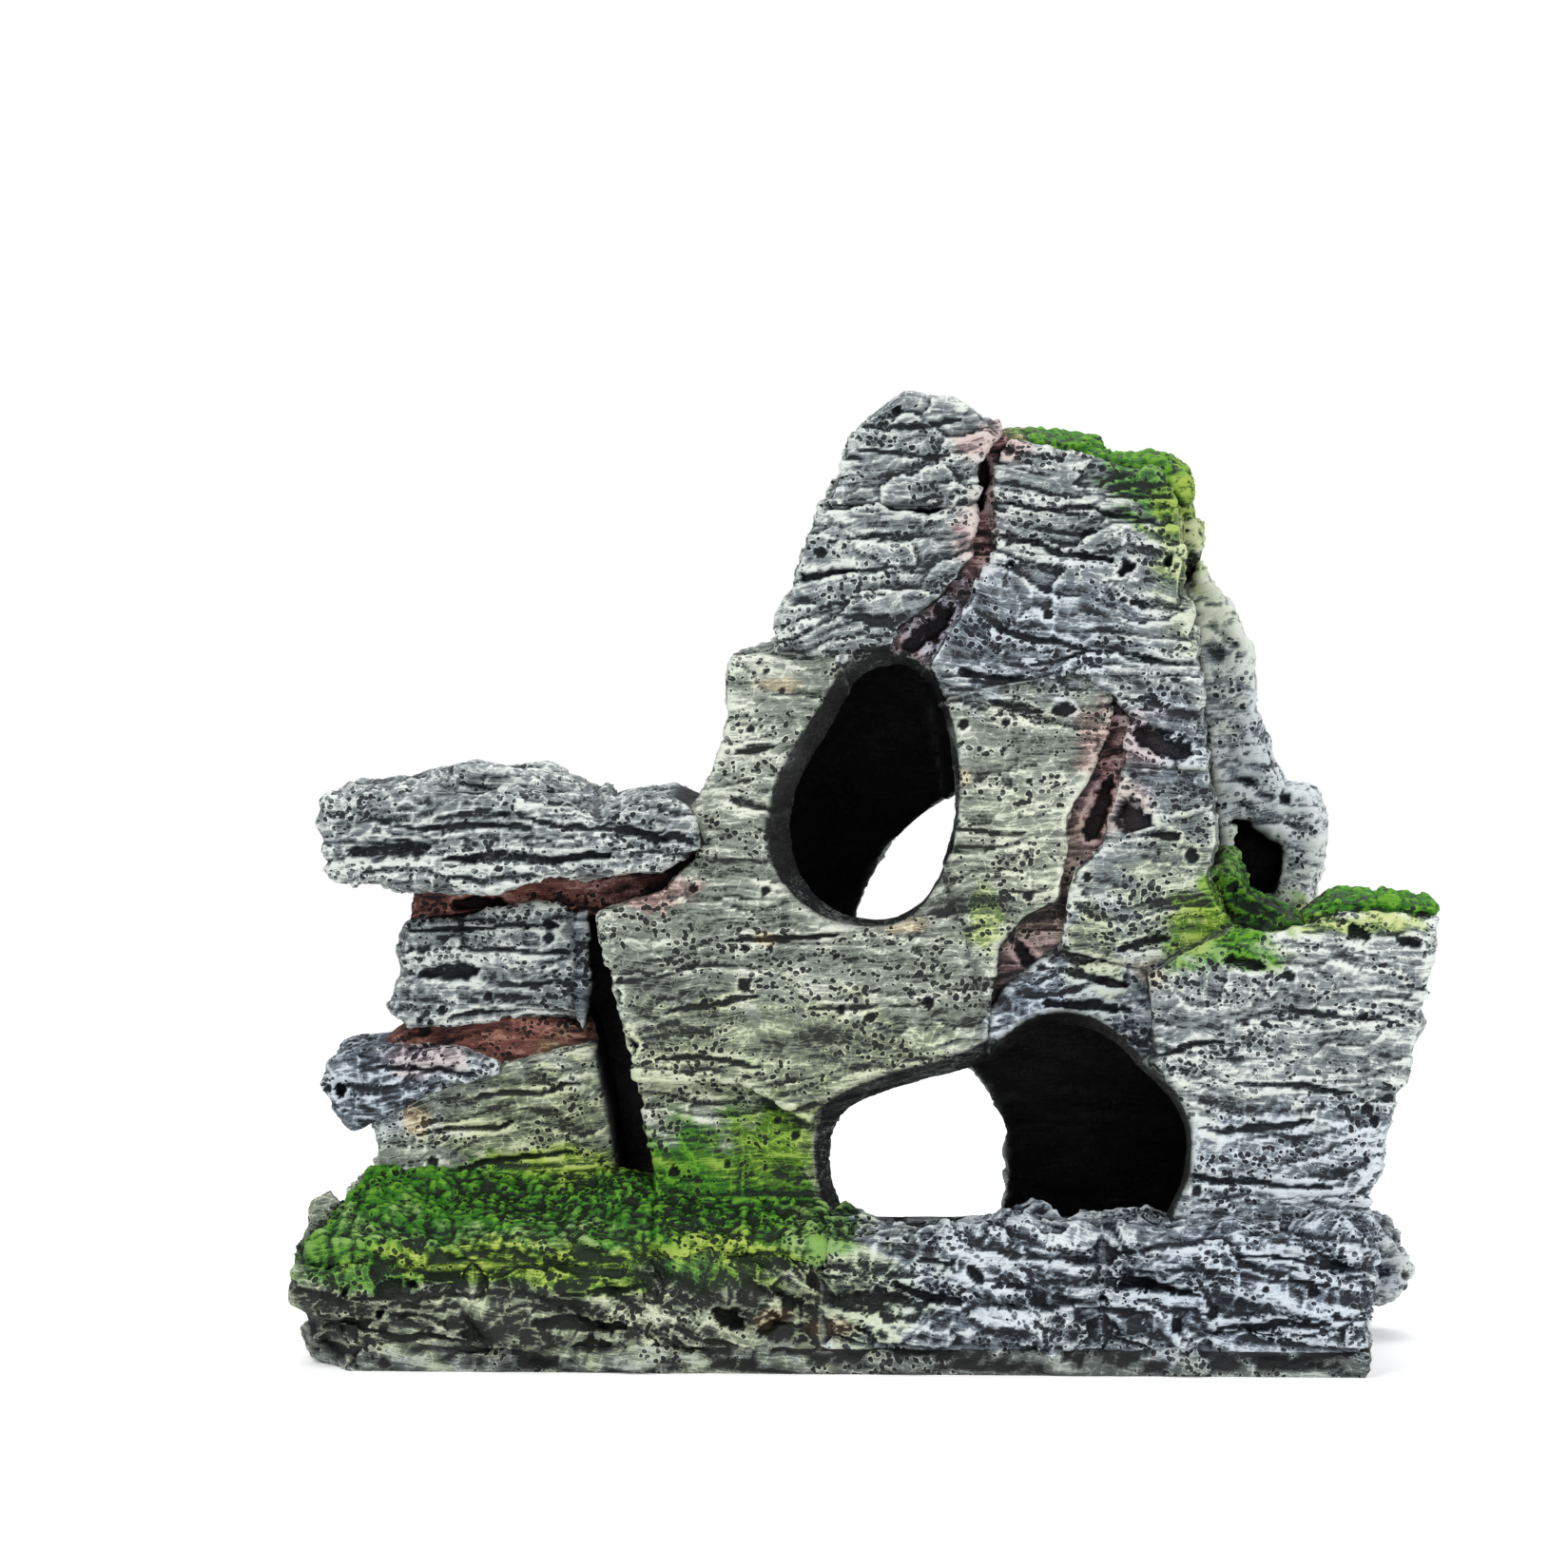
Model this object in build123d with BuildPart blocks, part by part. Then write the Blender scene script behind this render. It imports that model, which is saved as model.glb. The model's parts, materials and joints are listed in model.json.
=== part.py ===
"""Hollow resin rockery for a fish tank: a cave mass with a window and a tunnel, a stacked
column on its left, a buttress on its right, and applied moss.

Millimetres. +X to the right, +Y to the back, +Z up. The origin is the middle of the
overall box, on the surface that the flat base rests on.
"""
from build123d import *
from math import atan2, degrees
import os

os.makedirs("parts", exist_ok=True)

# ---------------------------------------------------------------- driving dimensions
overall_width = 134.0      # left end of the kerb to the overhanging corner of the buttress
overall_height = 115.0     # resting face to the top of the spire cap
overall_depth = 62.0       # front kerb to rear kerb

base_thickness = 3.0       # flat sanded plate under everything
wall_thickness = 6.5       # cast wall of the cave, front and back
front_setback = 5.0        # front wall foot behind the front kerb
rear_setback = 3.0         # rear wall foot in front of the rear kerb
crown_front = -10.5        # Y of the front wall's face at the overall height
crown_rear = 10.5          # Y of the rear wall's face at the overall height
edge_bevel = 0.7           # worn edge round each rock's outer face

sill_height = 17.5         # tunnel sill, the top of the kerb below it
step_height = 14.0         # top of the kerb under the mossy foot blocks
floor_height = 9.5         # cave floor and rear kerb
shelf_height = 21.0        # flat top of the left shelf, where the column stands
shelf_edge_height = 12.5   # top of the left kerb at its front face
shelf_top_setback = 17.0   # from the front kerb's face back to the shelf's flat top
moss_thickness = 2.2       # applied moss, on the shelf slope

buttress_front = -26.5     # Y of the buttress face
buttress_batter = 2.0      # how far the buttress face leans back over its height
column_front = -16.0       # Y of the column foot's face
column_depth = 30.0        # column foot, front to back
block_recess = 1.5         # column block behind the column foot, front and back
seam_recess = 4.0          # red seams behind the column foot, front and back
ledge_front = -21.0        # Y of the ledge slab's face
ledge_depth = 35.0         # ledge slab, front to back
crown_recess = 4.0         # ledge crown behind the ledge slab's faces
kerb_depth = wall_thickness + 5.5          # left kerb, front to back, past the wall
kerb_bevel = 1.4           # worn edge round each kerb's face
foot_recess = 1.5          # mossy foot blocks behind the wall's face
vein_recess = 1.2          # brown veins behind the wall's face
crevice_depth = 10.0       # from the column foot's face to the web that closes the crevice
web_thickness = 16.0       # that web, front to back
splinter_thickness = 2.5   # splinter in the crevice, front to back

window_width = 21.5
window_height = 33.0
window_narrowing = 4.0     # how much narrower and lower its throat is
window_mouth = -18.5       # Y where it starts to narrow
tunnel_width = 45.5
tunnel_height = 26.5       # above the sill
tunnel_narrowing = 4.0
tunnel_mouth = -25.0
flare_depth = 10.0         # mouth to throat, on both openings
reveal_right = 0.5         # how far the throats come in on their right and bottom sides
throat_run = 8.0           # straight run behind a throat, in the cave
rear_tunnel_width = 31.0
rear_tunnel_height = 24.0  # above the cave floor
rear_window_width = 24.0
rear_window_height = 22.0

shoulder_front = 2.0       # Y of the rear shoulder's face, set back beside the spire
alcove_depth = 9.0         # hollow in that face
heel_front = 7.0           # Y of the small heel stone's face
heel_depth = 11.0

# Outlines are drawn on an elevation of this nominal size and stretched to the overall one.
drawn_width = 134.0
drawn_height = 115.0


def at(x, z):
    """A point of the nominal elevation, stretched to the overall width and height."""
    return (x * overall_width / drawn_width, z * overall_height / drawn_height)


def level(z):
    """A Z height in the nominal elevation's own units, so that at() gives z back."""
    return z * drawn_height / overall_height


# ---------------------------------------------------------------- wall planes
front_face = -overall_depth / 2
rear_face = overall_depth / 2
front_foot = front_face + front_setback
rear_foot = rear_face - rear_setback
front_lean = degrees(atan2(crown_front - front_foot, overall_height))
rear_lean = degrees(atan2(rear_foot - crown_rear, overall_height))


def upright(y, lean=0.0):
    """A plane facing -Y, through Y = y at the resting face, leaning back by lean degrees."""
    return Plane(origin=(0, y, 0), x_dir=(1, 0, 0), z_dir=(0, -1, 0)).rotated((-lean, 0, 0))


def front_plane(proud=0.0):
    """The front wall's leaning face, moved outwards by proud; it faces the front."""
    return upright(front_foot, front_lean).offset(proud)


def rear_plane(proud=0.0):
    """The rear wall's leaning face, moved outwards by proud; it faces the back."""
    return (-upright(rear_foot, -rear_lean)).offset(proud)


front_inner = front_plane(-wall_thickness)   # cave side of the front wall, facing -Y
rear_inner = rear_plane(-wall_thickness)     # cave side of the rear wall, facing +Y
inside_front = -front_inner                  # the same two planes, facing into the cave
inside_rear = -rear_inner

# Slope of the left shelf, from the front kerb's face up to the shelf's flat top.
shelf_slope = degrees(atan2(shelf_height - shelf_edge_height, shelf_top_setback))
slope_plane = Plane(
    origin=(0, front_face, shelf_edge_height), x_dir=(1, 0, 0), z_dir=(0, 0, 1)
).rotated((shelf_slope, 0, 0))


# ---------------------------------------------------------------- makers
def finish(rock, label):
    """Label a finished rock and write it as its own STEP file."""
    rock.part.label = label
    export_step(rock.part, f"parts/{label}.step")
    return rock.part


def outer_edges(rock, plane):
    """The edges of a rock's faces that lie on plane."""
    return rock.faces().filter_by(
        lambda face: face.normal_at().dot(plane.z_dir) > 0.9999
    ).edges()


def prism(label, outline, front, back, bevel=0.0, cuts=(), top=None, bottom=None):
    """A rock drawn in elevation, running along Y from one plane to another.

    front faces -Y and back faces +Y. The bevel goes round the front face, or round the
    back face where the front is the inside of the rear wall. cuts are openings to take
    out. top and bottom face up, and nothing stays above one or below the other.
    """
    bevelled = back if front is inside_rear else front
    with BuildPart() as rock:
        with BuildSketch(Plane.XZ):
            with BuildLine():
                Polyline(*[at(x, z) for x, z in outline], close=True)
            make_face()
        extrude(amount=overall_depth, both=True)
        split(bisect_by=front, keep=Keep.BOTTOM)
        split(bisect_by=back, keep=Keep.BOTTOM)
        if top is not None:
            split(bisect_by=top, keep=Keep.BOTTOM)
        if bottom is not None:
            split(bisect_by=bottom, keep=Keep.TOP)
        if bevel:
            chamfer(outer_edges(rock, bevelled), length=bevel)
        for opening in cuts:
            add(opening, mode=Mode.SUBTRACT)
    return finish(rock, label)


def placed(centre, width, height, shares):
    """An outline given as shares of its width and height, round a centre point."""
    cx, cz = centre
    return [(cx + width * x, cz + height * z) for x, z in shares]


def rounded(y, outline):
    """A smooth closed curve through the outline's points, on an upright plane at Y = y."""
    with BuildSketch(upright(y)) as mouth:
        with BuildLine():
            Spline(*outline, periodic=True)
        make_face()
    return mouth.sketch


def flared_tool(mouth_y, throat_y, mouth, throat):
    """A cutter that narrows from the mouth outline to the throat outline, then runs on."""
    with BuildPart() as cutter:
        loft([rounded(mouth_y, mouth).face(), rounded(throat_y, throat).face()],
             ruled=True)
        extrude(rounded(mouth_y, mouth), amount=overall_depth / 2)
        extrude(rounded(throat_y, throat), amount=-throat_run)
    return cutter.part


def straight_tool(outline):
    """A cutter with one outline, from the middle of the cave out through the rear wall."""
    with BuildPart() as cutter:
        extrude(rounded(0, outline), amount=-overall_depth)
    return cutter.part


# ---------------------------------------------------------------- openings
# Slanted oval, its right side upright and its left side running down to the left. It
# narrows inwards on its left and top sides, where the casting shows a wide dark reveal.
window_centre = (-1.3, 69.7)
window_shares = [
    (0.06, 0.50), (0.34, 0.46), (0.50, 0.28), (0.50, -0.30), (0.32, -0.49),
    (-0.20, -0.50), (-0.50, -0.24), (-0.46, 0.02), (-0.20, 0.33),
]
window_x, window_z = at(*window_centre)
window_tool = flared_tool(
    window_mouth, window_mouth + flare_depth,
    placed((window_x, window_z), window_width, window_height, window_shares),
    placed((window_x + window_narrowing / 2 - reveal_right,
            window_z - window_narrowing / 2 + reveal_right),
           window_width - window_narrowing, window_height - window_narrowing,
           window_shares),
)
# Low wide mouth, highest right of its middle. Its foot runs below the sill, which the
# kerb under it makes.
tunnel_shares = [
    (-0.50, 0.26), (-0.46, 0.54), (-0.30, 0.68), (-0.02, 0.86), (0.10, 0.99),
    (0.24, 0.98), (0.38, 0.78), (0.50, 0.50), (0.50, 0.20), (0.40, -0.10),
    (-0.40, -0.10),
]
tunnel_x = at(15.2, 0)[0]
tunnel_tool = flared_tool(
    tunnel_mouth, tunnel_mouth + flare_depth,
    placed((tunnel_x, sill_height), tunnel_width, tunnel_height, tunnel_shares),
    placed((tunnel_x + tunnel_narrowing / 2 - reveal_right, sill_height),
           tunnel_width - tunnel_narrowing, tunnel_height - tunnel_narrowing,
           tunnel_shares),
)
rear_tunnel_tool = straight_tool(
    placed(at(1.2, level(floor_height)), rear_tunnel_width, rear_tunnel_height, [
        (-0.50, 0.0), (-0.50, 0.62), (-0.34, 0.90), (-0.06, 1.0), (0.24, 1.0),
        (0.42, 0.78), (0.47, 0.40), (0.39, 0.0),
    ]))
rear_window_tool = straight_tool(
    placed(at(9.5, 56.5), rear_window_width, rear_window_height, [
        (-0.50, -0.40), (-0.02, 0.44), (0.20, 0.50), (0.46, 0.28), (0.50, -0.20),
        (0.28, -0.50), (-0.30, -0.50),
    ]))

# ---------------------------------------------------------------- levels and corners
base = level(base_thickness)
sill = level(sill_height)
step = level(step_height)
floor = level(floor_height)
shelf = level(shelf_height)
bulge = level(shelf_edge_height - 3.0)     # widest height of the left kerb and shelf

# Corners of the elevation that several rocks share.
crevice_foot = (-25, level(shelf_height + moss_thickness + 1.0))
foot_corner = (-27.3, 33.8)       # top of the mossy foot blocks, at the crevice
waist_nick = (-28.6, 41)
crevice_bend = (-31, 48)
crevice_top = (-31.8, 53)
block_top = (-35.4, 53)           # right side of the column block, top and bottom
block_base = (-34.8, 40.6)
seam_top = (-33.2, 40.6)          # right side of the lower red seam, top and bottom
seam_base = (-32.5, 37.6)
foot_side = [(-31, 30.5), (-29.5, shelf)]
seam_end = (-24, 56)
ledge_heel = (-19.5, 61.5)        # right end of the ledge slab's underside
ledge_tip = (-21, 65.5)
cheek_side = [(-19.8, 67.2), (-16.8, 74)]
cheek_top = (-16.3, 83.5)
block_foot = (-11, 84.7)
block_side = [(-9.5, 90), (-8.5, 94.5)]
cap_foot = (-5, 102)
cap_side = [(-2.5, 109.5), (0.5, 113)]
cap_crack_end = (12, 102)         # right end of the crack under the spire cap
face_top = (17, 109)
face_corner = (34, 105.5)
face_side = [(36.5, 102), (37.2, 91.5), (38.7, 84.5)]
step_outer = [(39.8, 74.5), (40.1, 70.7), (40.8, 65.6)]
side_corner = [(41.4, 61.4), (40, 57.5)]
saddle_left = (43, 52)
saddle_top = (47.5, 51.3)
window_middle = window_centre
tunnel_middle = (14, 27)
moss_join = (-15, 34)             # split between the two mossy foot blocks
moss_tip = (-7, 29)
waist_right = (14.5, 42)          # right end of the waist slab, over the tunnel
waist_top = (8.5, 61.5)
centre_top = (9.8, 79)
centre_side = [(24.6, 82), (28.8, 79.3), (28.2, 74.3), (24.8, 67.5), (23.6, 65.2),
               (22.6, 55.2), (18.7, 53.4), (15.3, 49.4)]
vein_side = [(31.2, 76.8), (30.5, 71), (28.3, 62), (25, 58.5), (23.8, 53.4)]
arch_peak = (22.5, 49.3)
arch_left = (17, 45.4)
arch_right = (33, 47.3)
arch_foot = (34.5, 37)
ridge = [(52, 52.4), (55.5, 54), (67, 53.5)]       # top of the buttress

# ---------------------------------------------------------------- base and kerbs
with BuildPart() as base_plate:
    with BuildSketch(Plane.XY):
        with BuildLine():
            left, right = at(-65, 0)[0], at(58.8, 0)[0]
            edge = overall_depth / 2 - 0.6
            Polyline(
                (left + 4, -edge), (right, -edge), (right, edge), (left + 8, edge),
                (left, edge - 14), (left, 10 - edge), close=True,
            )
        make_face()
    extrude(amount=base_thickness)
finish(base_plate, "base_plate")

kerb_face = upright(front_face)
kerb_back = -upright(front_face + kerb_depth)
prism("kerb_left", [(-65.5, base), (-67, bulge), (-63.5, shelf), (-46, shelf),
                    (-46, base)],
      kerb_face, kerb_back, bevel=kerb_bevel, top=slope_plane)
prism("kerb_middle", [(-46, base), (-46, shelf), (-25, shelf), (-25, base)],
      kerb_face, kerb_back, bevel=kerb_bevel, top=slope_plane)
prism("kerb_step", [(-25, base), (-25, step), (-5, step), (-5, base)],
      kerb_face, inside_front, bevel=kerb_bevel)
prism("kerb_boulders", [(-5, base), (-5, sill), (28, sill), (28, base)],
      kerb_face, inside_front, bevel=kerb_bevel)
prism("kerb_right", [(28, base), (28, sill), (58.8, sill), (59.4, 10), (58.8, base)],
      kerb_face, inside_front, bevel=kerb_bevel)
prism("shelf_rock", [(-65.5, base), (-67, bulge), (-63, 17.5), (-59.5, shelf),
                     (-25, shelf), (-25, base)],
      upright(front_face + kerb_depth), rear_inner, top=slope_plane)
prism("heel_stone", [(58.8, 4), (58.8, 14), (60.2, 13.8), (62.8, 12.6), (64.7, 8.2),
                     (61.5, 4.6)],
      upright(heel_front), -upright(heel_front + heel_depth))
prism("cave_floor", [(-18, base), (-18, floor), (51, floor), (51, base)],
      front_inner, rear_inner)
rear_kerb_face = -upright(rear_face)
prism("rear_kerb_left", [(-61, base), (-63, 8), (-61, floor), (-5, floor), (-5, base)],
      inside_rear, rear_kerb_face, bevel=kerb_bevel)
prism("rear_kerb_right", [(-5, base), (-5, floor), (58.8, floor), (58.8, base)],
      inside_rear, rear_kerb_face, bevel=kerb_bevel)

# ---------------------------------------------------------------- stacked column


def column(label, outline, recess, bevel=edge_bevel):
    """A rock of the column, its faces set in by recess from the column foot's faces."""
    face = upright(column_front + recess)
    back = -upright(column_front + column_depth - recess)
    return prism(label, outline, face, back, bevel=bevel)


column("column_foot", [(-58, shelf), (-59.2, 28.2), (-54, 31), (-45, 34.6), seam_base,
                       *foot_side], 0)
column("nose_rock", [(-59.2, 28.2), (-62, 27.2), (-64.8, 29.8), (-65.2, 32.6),
                     (-63.4, 35.6), (-58.5, 36.8), (-49, 36), (-45, 34.6), (-54, 31)], -1)
column("red_seam_lower", [(-58.5, 36.8), (-55, 39.8), block_base, seam_top, seam_base,
                          (-45, 34.6), (-49, 36)], seam_recess, bevel=0)
column("column_block", [(-55, 39.8), (-57.8, 41.8), (-56.5, 47.5), (-55, 52), (-37, 54),
                        block_top, block_base], block_recess)
column("red_seam_upper", [(-55, 52), (-54.6, 57), (-44.2, 56.6), (-35, 58), (-24.5, 58.7),
                          ledge_heel, seam_end, crevice_top, block_top, (-37, 54)],
       seam_recess, bevel=0)
prism("ledge_slab", [(-65.4, 64.2), (-63.7, 67), (-54.5, 67.8), (-35, 67.3), (-32.2, 65),
                     (-24.7, 67), ledge_tip, ledge_heel, (-24.5, 58.7), (-35, 58),
                     (-44.2, 56.6), (-54.6, 57), (-62.8, 57.6), (-64.6, 60.4)],
      upright(ledge_front), -upright(ledge_front + ledge_depth), bevel=edge_bevel)
prism("ledge_crown", [(-54.5, 67.8), (-48.7, 70.2), (-39.6, 69.5), (-35, 67.3)],
      upright(ledge_front + crown_recess),
      -upright(ledge_front + ledge_depth - crown_recess), bevel=edge_bevel)
prism("crevice_splinter", [block_top, (-33.6, 53.5), (-33.3, 46), (-34.1, 38.6),
                           block_base],
      upright(column_front + block_recess),
      -upright(column_front + block_recess + splinter_thickness))
prism("crevice_web", [*reversed(foot_side), seam_base, seam_top, block_base, block_top,
                      crevice_top, crevice_bend, waist_nick, foot_corner, crevice_foot,
                      (-25, shelf)],
      upright(column_front + crevice_depth),
      -upright(column_front + crevice_depth + web_thickness))

# ---------------------------------------------------------------- front wall
front_cuts = (window_tool, tunnel_tool)


def front_slab(label, outline, proud):
    """A slab of the front wall, standing proud of the wall's face and cut by its openings."""
    return prism(label, outline, front_plane(proud), inside_front, cuts=front_cuts)


front_slab("mossy_block_left", [(-25, step), crevice_foot, foot_corner, moss_join,
                                (-14.5, step)],
           -foot_recess)
front_slab("mossy_block_right", [(-14.5, step), moss_join, moss_tip, tunnel_middle,
                                 (14, sill), (-5, sill), (-5, step)], -foot_recess)
front_slab("waist_slab", [foot_corner, waist_nick, crevice_bend, crevice_top, seam_end,
                          ledge_heel, window_middle, waist_top, waist_right,
                          tunnel_middle, moss_tip, moss_join], 1.0)
front_slab("cheek_slab", [ledge_heel, ledge_tip, *cheek_side, cheek_top, block_foot,
                          (-3.5, 84), window_middle], 0.4)
front_slab("spire_block", [block_foot, *block_side, cap_foot, cap_crack_end, (12, 95.5),
                           (9, 91.5), (3.5, 87.5), window_middle, (-3.5, 84)], 1.2)
front_slab("spire_cap", [cap_foot, *cap_side, (4.3, 115), (10, 114.6), (14.5, 111),
                         (12.5, 106.5), cap_crack_end], 1.8)
front_slab("vein_upper", [(14.5, 111), face_top, (15.8, 107), (14.7, 102), (15, 95.5),
                          (12.2, 90.5), (8, 84.5), window_middle, (3.5, 87.5), (9, 91.5),
                          (12, 95.5), cap_crack_end, (12.5, 106.5)], -vein_recess)
front_slab("face_slab", [face_top, face_corner, *face_side, step_outer[0], vein_side[0],
                         centre_side[1], centre_side[0], centre_top, window_middle,
                         (8, 84.5), (12.2, 90.5), (15, 95.5), (14.7, 102), (15.8, 107)],
           0.8)
front_slab("centre_slab", [centre_top, *centre_side, waist_right, waist_top,
                           window_middle], 1.2)
front_slab("vein_lower", [centre_side[1], *vein_side, arch_peak, arch_left, waist_right,
                          *reversed(centre_side[2:])], -vein_recess)
front_slab("side_step_top", [vein_side[0], step_outer[0], step_outer[1], vein_side[1]],
           1.0)
front_slab("side_step_mid", [vein_side[1], step_outer[1], step_outer[2], vein_side[2]],
           0.2)
front_slab("side_slab", [vein_side[3], vein_side[2], step_outer[2], *side_corner,
                         saddle_left, arch_right, arch_peak, vein_side[4]], 1.0)
front_slab("arch_stones", [waist_right, arch_left, arch_peak, arch_right, arch_foot,
                           tunnel_middle], -0.4)
batter = degrees(atan2(buttress_batter, overall_height))
prism("right_buttress", [arch_foot, arch_right, saddle_left, saddle_top, *ridge,
                         (65.8, 45), (64.5, 39.2), (61.5, 29), (59.3, 22), (58.8, sill),
                         (14, sill), tunnel_middle],
      upright(buttress_front, batter), inside_front, cuts=front_cuts)

# ---------------------------------------------------------------- flanks and spire core
prism("left_flank", [(-25, base), crevice_foot, foot_corner, waist_nick, crevice_bend,
                     crevice_top, seam_end, ledge_heel, (-12.5, 61.5), (-18, 50),
                     (-18, base)],
      front_inner, rear_inner)
prism("left_shoulder", [(-12.5, 61.5), ledge_heel, ledge_tip, *cheek_side, cheek_top,
                        block_foot, (-6, 84.7)],
      front_inner, rear_inner)
prism("spire_core", [(-6, 84.7), block_foot, *block_side, cap_foot, *cap_side, (10, 113.6),
                     (15, 110.5), face_top, face_corner, face_side[0], face_side[1],
                     (31, 91.5), (24, 97), (2, 97)],
      front_inner, rear_inner)
prism("right_flank_upper", [face_side[1], face_side[2], step_outer[0], step_outer[2],
                            *side_corner, saddle_left, (36, 52), (34, 66), (31, 91.5)],
      front_inner, rear_inner)
prism("right_flank_lower", [(36, 52), saddle_left, saddle_top, (56, 49), (60, 38),
                            (58.8, sill), (58.8, base), (51, base), (51, 34), (44, 45)],
      front_inner, rear_inner)

# ---------------------------------------------------------------- rear wall
rear_cuts = (rear_tunnel_tool, rear_window_tool)
rear_tunnel_middle = (1.2, 24)
rear_window_middle = (9.5, 56.5)


def rear_slab(label, outline, proud):
    """A slab of the rear wall, standing proud of the wall's face and cut by its openings."""
    return prism(label, outline, inside_rear, rear_plane(proud), cuts=rear_cuts)


rear_slab("rear_foot_left", [(-25, floor), crevice_foot, foot_corner, waist_nick,
                             (-10, 38), rear_tunnel_middle, (1.2, floor)], 1.2)
rear_slab("rear_foot_right", [(1.2, floor), rear_tunnel_middle, (14, 38), (36, 42),
                              (60, 38), (58.8, sill), (58.8, floor)], 0.6)
rear_slab("rear_lintel", [waist_nick, crevice_bend, crevice_top, (-10, 51),
                          rear_window_middle, (35, 50), (36, 42), (14, 38),
                          rear_tunnel_middle, (-10, 38)], 0.0)
rear_slab("rear_waist", [crevice_top, seam_end, ledge_heel, ledge_tip, *cheek_side,
                         cheek_top, (6, 80), rear_window_middle, (-10, 51)], 1.0)
rear_slab("rear_upper", [rear_window_middle, (6, 80), (20, 84), face_side[2],
                         step_outer[0], step_outer[2], *side_corner, saddle_left,
                         (35, 50)], 0.4)
rear_slab("rear_saddle", [(36, 42), (35, 50), saddle_left, saddle_top, (56, 49),
                          (60, 38)], 1.4)
rear_slab("rear_spire", [cheek_top, block_foot, *block_side, cap_foot, *cap_side,
                         (10, 113.6), (15, 110.5), (14, 104), (30, 97), face_side[1],
                         face_side[2], (20, 84), (6, 80)], 0.8)
crest_top = [(17.5, 110.1), (26, 109), (28, 107.2), (33, 107.3), (36.9, 105.7)]
rear_slab("crest_rock", [(14, 104), (15, 110.5), *crest_top, (38.4, 101), (39.2, 95),
                         face_side[1], (30, 97)], 1.6)

# The shoulder stands back beside the spire; the alcove is a dark hollow in its face.
with BuildPart() as alcove:
    with BuildSketch(upright(shoulder_front)) as alcove_mouth:
        with BuildLine():
            Polyline(*[at(x, z) for x, z in [(42.6, 64), (45, 63.6), (49.8, 60.4),
                                             (48.6, 54.4), (44.4, 53.6)]], close=True)
        make_face()
        fillet(alcove_mouth.vertices(), 0.6)
    extrude(amount=-alcove_depth)
prism("rear_shoulder", [face_side[1], face_side[2], step_outer[0], step_outer[2],
                        *side_corner, saddle_left, saddle_top, (52.6, 49.92),
                        (53.8, 59.6), (53.2, 66.4), (49.4, 67.2), (47.1, 71.2),
                        (45.3, 82.9), (42.9, 89.2), (39.4, 95)],
      upright(shoulder_front), rear_plane(0.4), bevel=edge_bevel, cuts=(alcove.part,))

# ---------------------------------------------------------------- applied moss
moss_top = slope_plane.offset(moss_thickness)
prism("moss_carpet", [(-65.4, base), (-65.4, 14), (-58, 24.5), (-58, 28), (-25, 28),
                      (-25, base)],
      upright(front_face + 0.5), -upright(column_front), top=moss_top,
      bottom=slope_plane)
prism("moss_bank", [(-25, step), (-25, 24), (-5, 24), (-5, step)],
      upright(front_face + 0.5), -front_plane(-foot_recess), top=moss_top)
prism("moss_crest", [(15, 110.5), face_top, face_corner, face_side[0], (37.9, 102),
                     crest_top[4], crest_top[3], crest_top[2], crest_top[1],
                     crest_top[0]],
      front_inner, rear_inner)
prism("moss_saddle", [saddle_left, side_corner[1], (42.5, 59.5), (45, 55.5), (50, 53.2),
                      (52.6, 49.92), saddle_top],
      front_inner, -upright(shoulder_front))
prism("moss_ridge", [*ridge, (66.6, 54.9), (61, 55.8), (55, 55.6), (51.5, 53.8)],
      upright(buttress_front + 2), inside_front)
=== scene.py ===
# %% [markdown]
# # A hollow resin rockery for a fish tank
#
# The real ornament is one resin casting, painted by hand: a dark coat everywhere, a pale
# dry brush over whatever stands proud, thin washes of blue, green and rust, and moss
# paint on top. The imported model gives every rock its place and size. This script turns
# each plain rock into a weathered one and paints it in the same order as the factory does.
#
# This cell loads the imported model. Nothing in it is moved: every new rock starts as a
# copy of a packed one, so it already stands where it belongs.

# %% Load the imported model
import json
import math
import bmesh
import bpy
import numpy as np
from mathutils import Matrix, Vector
from mathutils.bvhtree import BVHTree


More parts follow.
